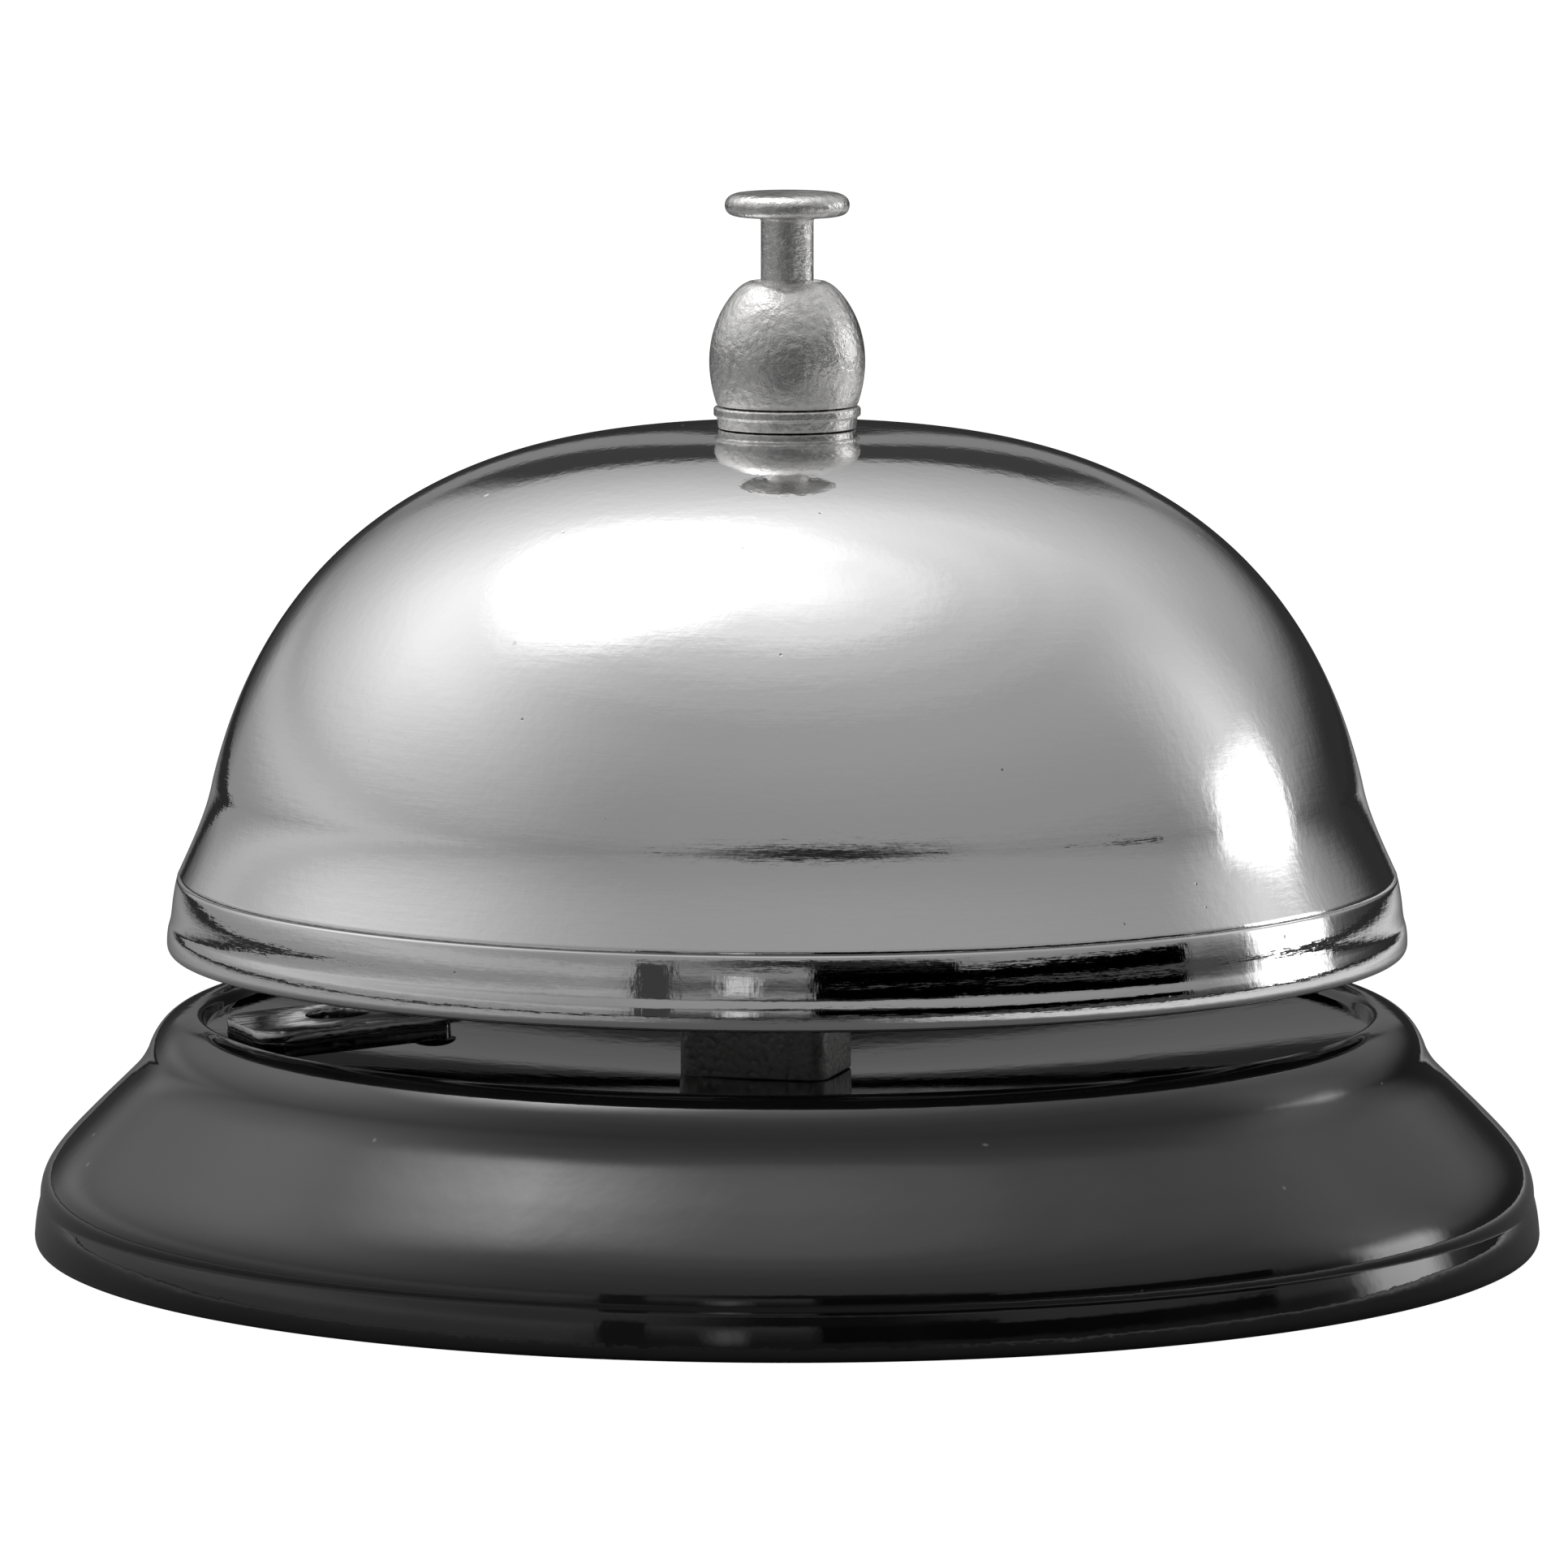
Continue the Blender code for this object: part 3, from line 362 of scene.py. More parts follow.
def gloss_black_paint():
    """Stoved black gloss paint: a wet-looking film with orange peel, and dust on it."""
    look, wire, shader, place = new_look("gloss_black_paint", IOR=1.68)
    skin = wire.use(WAVY_SKIN, Place=place, Wave=170.0, Peel=900.0, Share=0.35).outputs["Height"]
    dust = wire.use(SPECKS, Place=place, Scale=300.0, Size=0.06, Share=0.3).outputs["Mask"]
    lint = wire.use(SPECKS, Place=wire.stretched(place, (0.4, 1.0, 1.0), (0.3, 0.2, 0.7)),
                    Scale=420.0, Size=0.05, Share=0.06).outputs["Mask"]
    film = wire.remap(wire.noise(place, 110.0, 4.0, 0.6), 0.4, 0.8)
    black = wire.mix_colour(film, grey(0.008), grey(0.013))
    loose = wire.math("MAXIMUM", dust, lint)
    wire.join(shader["Base Color"], wire.mix_colour(wire.math("MULTIPLY", loose, 0.5), black, grey(0.4)))
    wire.join(shader["Roughness"], wire.mix(loose, wire.remap(film, 0.0, 1.0, 0.04, 0.08), 0.5))
    bump(wire, shader, (skin, 0.00005, 0.4))
    return look


def zinc_casting():
    """Grey zinc with a coarse sandy skin. Its tone runs up to white, lighter than raw zinc: painted light
    for the column in the shade under the bell.
    """
    look, wire, shader, place = new_look("zinc_casting", Metallic=0.3)
    grain = wire.use(GRAIN, Place=place, Scale=3200.0, Coarse=0.7)
    wear = wire.use(EDGE_WEAR, Place=place, Radius=0.0003, Amount=0.8, Break_Up=1800.0)
    patches = wire.noise(place, 600.0, 4.0, 0.65)
    # painted light: the tone is lifted as far as white to make up for the shade under the bell; its random
    # patches are the zinc's own
    tone = wire.mix_colour(patches, grey(0.72), grey(1.0))
    dull = wire.mix_colour(wire.math("MULTIPLY", grain.outputs["Hollows"], 0.6), tone, grey(0.4))
    wire.join(shader["Base Color"], wire.mix_colour(wear.outputs["Mask"], dull, grey(0.7)))
    wire.join(shader["Roughness"], wire.remap(patches, 0.3, 0.7, 0.38, 0.6))
    bump(wire, shader, (grain.outputs["Height"], 0.00012, 0.8))
    return look


def sheet_steel(name, clean, stained, worn):
    """Tumbled sheet steel of the striker: long drag marks, dark stains and worn edges. The tones come from
    the caller; the darker copy's tones are painted shade.
    """
    look, wire, shader, place = new_look(name, Metallic=1.0)
    along = wire.stretched(place, (0.12, 1.0, 1.0), (0.0, 0.0, LINE_TURN))
    drag = wire.noise(along, 1700.0, 4.0, 0.65, 0.6)
    waves = wire.noise(place, 330.0, 2.0, 0.5, 0.8)
    wear = wire.use(EDGE_WEAR, Place=place, Radius=0.00015, Amount=0.9, Break_Up=2400.0)
    stains = wire.remap(wire.noise(place, 260.0, 4.0, 0.6), 0.42, 0.68)
    tone = wire.mix_colour(stains, grey(clean), grey(stained))
    wire.join(shader["Base Color"], wire.mix_colour(wear.outputs["Mask"], tone, grey(worn)))
    wire.join(shader["Roughness"], wire.remap(drag, 0.3, 0.7, 0.09, 0.2))
    bump(wire, shader, (waves, 0.00022, 0.5), (drag, 0.00001, 0.5))
    return look


def turned_steel():
    """Lathe-turned steel with rings and worn, brighter edges."""
    look, wire, shader, place = new_look("turned_steel", Metallic=1.0)
    rings = wire.use(TURNING, Place=place, Pitch=0.00014, Uneven=0.3).outputs["Height"]
    wear = wire.use(EDGE_WEAR, Place=place, Radius=0.0002, Amount=0.8, Break_Up=1500.0)
    oxide = wire.remap(wire.noise(place, 380.0, 4.0, 0.65), 0.4, 0.75)
    tone = wire.mix_colour(oxide, grey(0.52, 0.01), grey(0.36, 0.03))
    wire.join(shader["Base Color"], wire.mix_colour(wear.outputs["Mask"], tone, grey(0.75)))
    wire.join(shader["Roughness"], wire.remap(oxide, 0.0, 1.0, 0.24, 0.42))
    bump(wire, shader, (rings, 0.00001, 0.7))
    return look


def spring_wire():
    """Drawn spring wire, a little oily."""
    look, wire, shader, place = new_look("spring_wire", Metallic=1.0)
    drawn = wire.noise(wire.stretched(place, (1.0, 1.0, 5.0)), 2600.0, 3.0, 0.6)
    wire.join(shader["Base Color"], wire.mix_colour(drawn, grey(0.30, 0.02), grey(0.48, 0.01)))
    wire.join(shader["Roughness"], wire.remap(drawn, 0.3, 0.7, 0.2, 0.36))
    bump(wire, shader, (drawn, 0.000008, 0.5))
    return look


def grip_rubber():
    """Matt moulded rubber with dusty high spots."""
    look, wire, shader, place = new_look("grip_rubber", Specular_IOR_Level=0.35)
    grain = wire.use(GRAIN, Place=place, Scale=1500.0, Coarse=0.3)
    dust = wire.use(SPECKS, Place=place, Scale=500.0, Size=0.12, Share=0.35).outputs["Mask"]
    tone = wire.mix_colour(grain.outputs["Hollows"], grey(0.035), grey(0.02))
    wire.join(shader["Base Color"], wire.mix_colour(wire.math("MULTIPLY", dust, 0.5), tone, grey(0.25)))
    wire.join(shader["Roughness"], wire.remap(grain.outputs["Height"], 0.2, 0.8, 0.68, 0.85))
    bump(wire, shader, (grain.outputs["Height"], 0.00008, 0.5))
    return look


def red_fibre():
    """Vulcanised fibre washer."""
    look, wire, shader, place = new_look("red_fibre", Specular_IOR_Level=0.4)
    fibres = wire.noise(wire.stretched(place, (1.0, 0.2, 1.0), (0.0, 0.0, 0.6)), 3000.0, 4.0, 0.7)
    tone = wire.mix_colour(fibres, (0.24, 0.04, 0.02, 1.0), (0.42, 0.10, 0.05, 1.0))
    wire.join(shader["Base Color"], tone)
    wire.join(shader["Roughness"], wire.remap(fibres, 0.3, 0.7, 0.55, 0.75))
    bump(wire, shader, (fibres, 0.00003, 0.6))
    return look


CHROME = chrome_plate()
NICKEL = satin_nickel()
BLACK = gloss_black_paint()
ZINC = zinc_casting()
SHEET = sheet_steel("bright_sheet_steel", 0.75, 0.45, 0.85)
# painted shade: a darker copy of the sheet steel, for the backing plate and rivets that sit in shadow
# under the striker's head
SHADE_PAINTED_SHEET = sheet_steel("shade_painted_sheet_steel", 0.10, 0.05, 0.22)
TURNED = turned_steel()
WIRE = spring_wire()
RUBBER = grip_rubber()
FIBRE = red_fibre()


# ---------------------------------------------------------------- shape helpers
def curve(start, handle_1, handle_2, end, count):
    """Points on a Bezier curve in the radius-height plane, without the first."""
    knots = [Vector((*point, 0.0)) for point in (start, handle_1, handle_2, end)]
    return [(point.x, point.y) for point in interpolate_bezier(*knots, count + 1)][1:]


def flowing(points, count):
    """A smooth line through all points: each stretch is a Bezier with its tangents shared."""
    places = [Vector(point) for point in points]
    ends = len(places) - 1
    leans = [(places[min(i + 1, ends)] - places[max(i - 1, 0)]) / 6 for i in range(len(places))]
    line = [tuple(places[0])]
    for index in range(ends):
        start, end = places[index], places[index + 1]
        reach = (end - start).length / max((leans[index] * 3).length, 1e-9)
        back = (end - start).length / max((leans[index + 1] * 3).length, 1e-9)
        line += curve(start, start + leans[index] * min(reach, 1.0),
                      end - leans[index + 1] * min(back, 1.0), end, count)
    return line


def rounded(corners, closed=True, steps=4):
    """A line through corners (across, up, rounding), each corner turned on its own arc."""
    points = []
    count = len(corners)
    for index, (across, up, rounding) in enumerate(corners):
        here = Vector((across, up))
        at_end = not closed and index in (0, count - 1)
        if rounding == 0 or at_end:
            points.append((across, up))
            continue
        before = (Vector(corners[index - 1][:2]) - here).normalized()
        after = (Vector(corners[(index + 1) % count][:2]) - here).normalized()
        half = before.angle(after) / 2
        centre = here + (before + after).normalized() * rounding / math.sin(half)
        start = (here + before * rounding / math.tan(half) - centre).normalized()
        end = (here + after * rounding / math.tan(half) - centre).normalized()
        points += [tuple(centre + start.slerp(end, step / steps) * rounding) for step in range(steps + 1)]
    return points


def finish(name, bm, look, body, nodes, place=None, crease=35.0):
    """Makes the shaded piece, in metres, puts it on its body, and hides the CAD pieces that it stands for.
    """
    if place is not None:
        bm.transform(place)
    bmesh.ops.scale(bm, vec=(MM, MM, MM), verts=bm.verts)
    bmesh.ops.recalc_face_normals(bm, faces=bm.faces)
    mesh = bpy.data.meshes.new(name)
    bm.to_mesh(mesh)
    bm.free()
    mesh.shade_smooth()
    mesh.set_sharp_from_angle(angle=math.radians(crease))
    mesh.materials.append(look)
    piece = bpy.data.objects.new(name, mesh)
    bpy.context.scene.collection.objects.link(piece)
    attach(piece, body)
    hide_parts(*nodes)
    return piece


def lathe(bm, outline, steps, closed=False):
    """Spins an outline round the upright axis and adds it to the mesh."""
    fresh = [bm.verts.new((radius, 0.0, height)) for radius, height in outline]
    pairs = list(zip(fresh, fresh[1:]))
    if closed:
        pairs.append((fresh[-1], fresh[0]))
    edges = [bm.edges.new(pair) for pair in pairs]
    bmesh.ops.spin(bm, geom=fresh + edges, cent=(0, 0, 0), axis=(0, 0, 1), dvec=(0, 0, 0),
                   angle=math.tau, steps=steps, use_merge=True, use_duplicate=False)
    bmesh.ops.remove_doubles(bm, verts=bm.verts, dist=1e-5)


def turned(outline, steps=96, closed=False):
    """A new mesh turned from one outline."""
    bm = bmesh.new()
    lathe(bm, outline, steps, closed)
    return bm


def ring_outline(inner, outer, low, high, soft):
    """A washer's section with all its edges rounded."""
    return rounded([(inner, low, soft), (outer, low, soft), (outer, high, soft), (inner, high, soft)])


def loop(bm, points, level=0.0):
    """A closed loop of edges in the plan at one level."""
    verts = [bm.verts.new((x, y, level)) for x, y in points]
    return [bm.edges.new(pair) for pair in zip(verts, verts[1:] + verts[:1])]


def circle(radius, centre=(0.0, 0.0), count=48, start=0.0):
    """Points round a circle in plan."""
    angles = [start + math.tau * step / count for step in range(count)]
    return [(centre[0] + radius * math.cos(angle), centre[1] + radius * math.sin(angle))
            for angle in angles]


def plate(outline, holes, low, high):
    """A flat plate with holes, from plan loops."""
    bm = bmesh.new()
    edges = loop(bm, outline, low)
    for hole in holes:
        edges += loop(bm, hole, low)
    bmesh.ops.triangle_fill(bm, use_beauty=True, use_dissolve=False, edges=edges)
    raised = bmesh.ops.extrude_face_region(bm, geom=list(bm.faces))
    verts = [item for item in raised["geom"] if isinstance(item, bmesh.types.BMVert)]
    bmesh.ops.translate(bm, verts=verts, vec=(0.0, 0.0, high - low))
    return bm


def soften(bm, offset, segments=2, least=50.0):
    """Rounds every edge that turns more than a given angle."""
    sharp = [edge for edge in bm.edges
             if edge.is_manifold and math.degrees(edge.calc_face_angle(0.0)) > least]
    bmesh.ops.bevel(bm, geom=sharp, offset=offset, offset_type="OFFSET", affect="EDGES",
                    segments=segments, profile=0.5, material=-1, clamp_overlap=True)


def block(low, high):
    """A new mesh with one plain block between two corners."""
    size = Vector(high) - Vector(low)
    middle = (Vector(high) + Vector(low)) / 2
    bm = bmesh.new()
    bmesh.ops.create_cube(bm, size=1.0, matrix=Matrix.Translation(middle) @ Matrix.Diagonal((*size, 1.0)))
    return bm


def merge_in(bm, other):
    """Adds a second mesh to the first."""
    spare = bpy.data.meshes.new("spare")
    other.to_mesh(spare)
    other.free()
    bm.from_mesh(spare)
    bpy.data.meshes.remove(spare)


# ---------------------------------------------------------------- bell
BAND_IN = 0.60           # the band's upper end, inside the widest radius
BAND_TOP = CROWN_Z - 25.12


def bell_wall(inset):
    """Crown to rim, drawn inset from the outer face: dome, hollow flare, band and its low bead."""
    crown = (4.6, CROWN_Z - inset)
    fold = (BELL_RIM_R - 2.60 - inset * 0.97, CROWN_Z - 19.80)
    crease = (BELL_RIM_R - BAND_IN - inset, BAND_TOP)
    top = (crown[0] + (fold[0] - crown[0]) * 0.617, crown[1])
    dome = [crown] + curve(crown, top, (fold[0] - 2.58, fold[1] + 10.9 - inset * 0.5), fold, 72)
    flare = curve(fold, (fold[0] + 0.33, fold[1] - 1.7), (crease[0] - 1.02, crease[1] + 2.2),
                  crease, 26)
    return dome + flare


def build_bell():
    """Spun brass shell, chromed: one closed wall with a hole in the crown."""
    rim_z = BELL_LOW.z
    band = flowing([(BELL_RIM_R - BAND_IN, BAND_TOP), (BELL_RIM_R - 0.62, BAND_TOP - 0.08),
                    (BELL_RIM_R - 0.56, BAND_TOP - 0.18), (BELL_RIM_R - 0.46, rim_z + 3.55),
                    (BELL_RIM_R - 0.35, rim_z + 2.9), (BELL_RIM_R - 0.27, rim_z + 2.2),
                    (BELL_RIM_R - 0.20, rim_z + 1.75), (BELL_RIM_R - 0.13, rim_z + 1.50),
                    (BELL_RIM_R - 0.06, rim_z + 1.22), (BELL_RIM_R - 0.015, rim_z + 0.85),
                    (BELL_RIM_R - 0.002, rim_z + 0.50)], 5)
    rim = curve(band[-1], (BELL_RIM_R + 0.004, rim_z + 0.22), (BELL_RIM_R - 0.10, rim_z + 0.012),
                (BELL_RIM_R - 0.32, rim_z + 0.01), 8)
    inner_rim = curve(rim[-1], (BELL_RIM_R - 0.62, rim_z + 0.01), (BELL_RIM_R - 0.78, rim_z + 0.10),
                      (BELL_RIM_R - 0.80, rim_z + 0.5), 6)
    inner = bell_wall(BELL_WALL)
    hole = NECK_R + 0.12
    outline = bell_wall(0.0) + band[1:] + rim + inner_rim + inner[::-1]
    outline += [(hole, CROWN_Z - BELL_WALL), (hole, CROWN_Z)]
    bm = turned(outline, BIG_TURN, closed=True)
    finish("bell_shell", bm, CHROME, "stand", ["bell"], crease=60.0)


# ---------------------------------------------------------------- base
GRIP_W = 2.7


def base_outside():
    """The base's upper face: bowl, ridge, flank, shoulder, waist and hem."""
    lip = (LIP_R, LIP_Z)
    crest = (LIP_R + 0.62, BASE_HIGH.z - 0.01)
    foot = (LIP_R + 3.30, LIP_Z - 1.30)
    bowl = curve((0.0, BOWL_Z), (LIP_R * 0.34, BOWL_Z), (LIP_R - 7.7, LIP_Z - 7.7 * BOWL_SLOPE), lip, 64)
    roll = curve(lip, (lip[0] + 0.16, lip[1] + 0.42), (lip[0] + 0.2, crest[1]), crest, 12)
    ridge = curve(crest, (crest[0] + 1.5, crest[1]), (foot[0] - 0.35, foot[1] + 1.1), foot, 24)
    kink = curve(foot, (foot[0] + 0.22, foot[1] - 0.5), (foot[0] + 0.55, foot[1] - 1.0),
                 (foot[0] + 0.95, foot[1] - 1.40), 8)
    shoulder = (BASE_R - 3.25, 7.41)
    flank = curve(kink[-1], (kink[-1][0] + 0.8, kink[-1][1] - 0.8),
                  (shoulder[0] - 0.6, shoulder[1] + 0.6), shoulder, 10)
    turn = curve(shoulder, (BASE_R - 1.3, 5.46), (BASE_R - 0.31, 4.5), (BASE_R - 0.33, 2.72), 26)
    hem = flowing([(BASE_R - 0.30, 2.62), (BASE_R - 0.16, 2.0), (BASE_R - 0.06, 1.3),
                   (BASE_R - 0.01, 0.75)], 5)
    foot_roll = curve(hem[-1], (BASE_R, 0.42), (BASE_R - 0.12, 0.11), (BASE_R - 0.42, 0.105), 8)
    return [(0.0, BOWL_Z)] + bowl + roll + ridge + kink + flank + turn + hem + foot_roll


def build_base():
    """Deep-drawn sheet with a turned-in hem, and the inside following the outside."""
    inner_hem = BASE_R - 1.2
    inside = rounded([
        (BASE_R - 0.42, 0.105, 0.0), (inner_hem, 0.105, 0.25), (inner_hem, 4.6, 1.2),
        (BASE_R - 4.1, 7.0, 2.0), (LIP_R + 3.1, LIP_Z - 3.3, 0.8), (LIP_R + 1.6, BOWL_Z + 0.9, 0.8),
        (LIP_R * 0.7, BOWL_Z + 0.2, 3.0), (LIP_R * 0.3, BOWL_Z - BASE_SHEET, 3.0),
        (0.0, BOWL_Z - BASE_SHEET, 0.0)], closed=False, steps=8)
    bm = turned(base_outside() + inside[1:], BIG_TURN)
    finish("base_body", bm, BLACK, "stand", ["base_shell"], crease=60.0)


def build_grip():
    """Moulded rubber ring with a shallow groove in its sole."""
    inner, outer = GRIP_HIGH.x - GRIP_W, GRIP_HIGH.x
    middle = (inner + outer) / 2
    outline = rounded([
        (inner, GRIP_HIGH.z, 0.2), (inner, 0.0, 0.3), (middle - 0.4, 0.0, 0.15),
        (middle - 0.25, 0.4, 0.1), (middle + 0.25, 0.4, 0.1), (middle + 0.4, 0.0, 0.15),
        (outer, 0.0, 0.3), (outer, GRIP_HIGH.z, 0.2)])
    finish("grip_sole", turned(outline, 144, closed=True), RUBBER, "stand", ["grip_ring"])


# ---------------------------------------------------------------- knob, ring and button
def build_collar_ring():
    """Ring under the knob: a plain wall under a rounded lip."""
    inner, outer = NECK_R + 0.2, RING_HIGH.x
    low, high = CROWN_Z + SEAT, CAP_LOW.z - SEAT
    outline = rounded([
        (inner, low, 0.0), (outer - 0.28, low, 0.10), (outer - 0.20, low + 0.62, 0.08),
        (outer - 0.02, low + 0.74, 0.09), (outer - 0.02, high - 0.02, 0.15),
        (outer - 0.5, high + 0.02, 0.1), (inner, high, 0.0)], steps=5)
    finish("knob_ring", turned(outline, KNOB_TURN, closed=True), NICKEL, "stand", ["collar_ring"])


def build_knob():
    """Bulb-shaped nut with a flat top and a shallow well round the stem."""
    low, high = CAP_LOW.z, CAP_HIGH.z
    side = curve((2.30, high - 0.10), (2.95, high - 0.30), (5.28, low + 4.15), (4.0, low + 0.18), 44)
    outline = [(NECK_R + 0.15, low - 0.01), (3.78, low - 0.01), (3.93, low + 0.05), (4.0, low + 0.18)]
    outline += side[::-1][1:] + [(2.30, high - 0.10), (2.17, high - 0.03), (2.02, high - 0.005)]
    outline += [(1.95, high - 0.02), (1.88, high - 0.14), (GUIDE_R, high - 0.18),
                (GUIDE_R, high - 2.1), (NECK_R + 0.15, high - 2.1)]
    finish("knob", turned(outline, KNOB_TURN, closed=True), NICKEL, "stand", ["cap_nut"])


def build_button():
    """Stem and button turned in one, with a fillet under the head and a soft top edge."""
    low, high = PLUNGER_HIGH.z - 1.4, PLUNGER_HIGH.z
    radius = PLUNGER_HIGH.x
    tip = PLUNGER_LOW.z
    outline = [(0.0, high - 0.01)] + curve((0.0, high - 0.01), (radius * 0.5, high - 0.01),
                                           (radius - 1.0, high - 0.03), (radius - 0.62, high - 0.09), 10)
    outline += curve(outline[-1], (radius - 0.18, high - 0.20), (radius, high - 0.44),
                     (radius, high - 0.74), 10)
    outline += curve(outline[-1], (radius, low + 0.30), (radius - 0.22, low + 0.06),
                     (radius - 0.72, low + 0.04), 10)
    outline += [(STEM_R + 0.42, low + 0.015)]
    outline += curve(outline[-1], (STEM_R + 0.15, low), (STEM_R, low - 0.06), (STEM_R, low - 0.30), 6)
    outline += rounded([(STEM_R, low - 0.5, 0.0), (STEM_R, tip + 1.2, 0.2), (0.8, tip + 0.02, 0.25),
                        (0.0, tip, 0.0)], closed=False)
    finish("button_and_stem", turned(outline, 128), NICKEL, "button", ["plunger"])


# ---------------------------------------------------------------- post, nuts, washers, spring
NUT_FLATS = 13.0


def threads(radius, depth, high, low, pitch=0.5):
    """A run of thread crests from high to low."""
    count = int((high - low) / pitch)
    points = []
    for step in range(count):
        top = high - step * pitch
        points += [(radius, top - 0.08), (radius, top - 0.16), (radius - depth, top - 0.36),
                   (radius - depth, top - 0.42)]
    return points


def build_post():
    """Hollow post, threaded at its foot for the nut and at its neck for the knob."""
    outer, low, high = POST_HIGH.x, POST_LOW.z, POST_HIGH.z
    shoulder = CROWN_WASHER_LOW.z - SEAT
    outline = [(NECK_R - 0.35, high), (NECK_R - 0.05, high - 0.3)]
    outline += threads(NECK_R, 0.22, high - 0.3, CROWN_Z + 0.1) + [(NECK_R, CROWN_Z), (NECK_R, shoulder)]
    outline += [(outer - 0.25, shoulder), (outer, shoulder - 0.25), (outer, NUT_HIGH.z + 3.0)]
    outline += threads(outer, 0.25, NUT_HIGH.z + 2.8, low + 0.2) + [(outer - 0.3, low)]
    outline += [(3.0, low), (3.0, COLLAR_HIGH.z + 0.2), (GUIDE_R, COLLAR_HIGH.z + 0.25), (GUIDE_R, high)]
    finish("post_tube", turned(outline, 96, closed=True), TURNED, "stand", ["post"])


def build_washers():
    """The plain washer under the lock nut and the fibre washer under the crown."""
    post_washer = ring_outline(POST_HIGH.x + SEAT, POST_WASHER_HIGH.x, FORK_HIGH.z + SEAT,
                               POST_WASHER_HIGH.z, 0.12)
    finish("lock_washer", turned(post_washer, 96, closed=True), TURNED, "stand", ["post_washer"])
    fibre = ring_outline(NECK_R + SEAT, CROWN_WASHER_HIGH.x, CROWN_WASHER_LOW.z,
                         CROWN_Z - BELL_WALL - SEAT, 0.15)
    finish("crown_cushion", turned(fibre, 96, closed=True), FIBRE, "stand", ["crown_washer"])


def build_lock_nut():
    """Hexagon nut with its corners chamfered on a cone at both faces."""
    low, high = POST_WASHER_HIGH.z + SEAT, NUT_HIGH.z
    hexagon = circle(NUT_FLATS / math.sqrt(3), count=6, start=math.pi / 6)
    bm = plate(hexagon, [circle(POST_HIGH.x + SEAT, count=60)], low, high)
    for across in circle(1.0, count=36):
        outward = Vector((*across, 0.0))
        for up, level in ((1.0, high), (-1.0, low)):
            lean = Vector((outward.x, outward.y, up * 1.9)).normalized()
            point = outward * (NUT_FLATS / 2 - 0.05) + Vector((0.0, 0.0, level))
            cut = bmesh.ops.bisect_plane(bm, geom=[*bm.verts, *bm.edges, *bm.faces], dist=1e-5,
                                         plane_co=point, plane_no=lean, clear_outer=True)
            rim = [item for item in cut["geom_cut"] if isinstance(item, bmesh.types.BMEdge)]
            if rim:
                bmesh.ops.holes_fill(bm, edges=rim, sides=0)
    finish("lock_nut", bm, TURNED, "stand", ["jam_nut"], LINE_PLACE, 20.0)


def build_stem_collar():
    """Collar pressed on the stem, over the spring."""
    outline = ring_outline(STEM_R + 0.02, COLLAR_HIGH.x, COLLAR_LOW.z, COLLAR_HIGH.z, 0.2)
    finish("stem_collar", turned(outline, 72, closed=True), TURNED, "button", ["plunger_collar"])


def build_spring():
    """Coil spring, wound by spinning the wire's section up the axis, with closed ends."""
    wire_r, mean_r, turns, steps = 0.25, 2.3, 8, 28
    low, high = SPRING_LOW.z + wire_r, SPRING_HIGH.z - wire_r
    bm = bmesh.new()
    upright = Matrix.Translation((mean_r, 0.0, low)) @ Matrix.Rotation(math.pi / 2, 4, "X")
    section = bmesh.ops.create_circle(bm, cap_ends=False, segments=10, radius=wire_r, matrix=upright)
    edges = list({edge for vert in section["verts"] for edge in vert.link_edges})
    count = turns * steps
    bmesh.ops.spin(bm, geom=section["verts"] + edges, cent=(0, 0, 0), axis=(0, 0, 1),
                   dvec=(0, 0, (high - low) / count), angle=math.tau * turns, steps=count,
                   use_merge=False, use_duplicate=False)
    open_edges = [edge for edge in bm.edges if edge.is_boundary]
    bmesh.ops.holes_fill(bm, edges=open_edges, sides=0)
    spring = finish("return_spring", bm, WIRE, "stand", ["plunger_spring"])
    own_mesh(spring)


# ---------------------------------------------------------------- pedestal
COLUMN_LENGTH = 8.6
COLUMN_DEPTH = 6.8
COLUMN_PLACE = Matrix.Translation((-1.2, 0.0, 0.0)) @ Matrix.Rotation(math.radians(-15.0), 4, "Z")


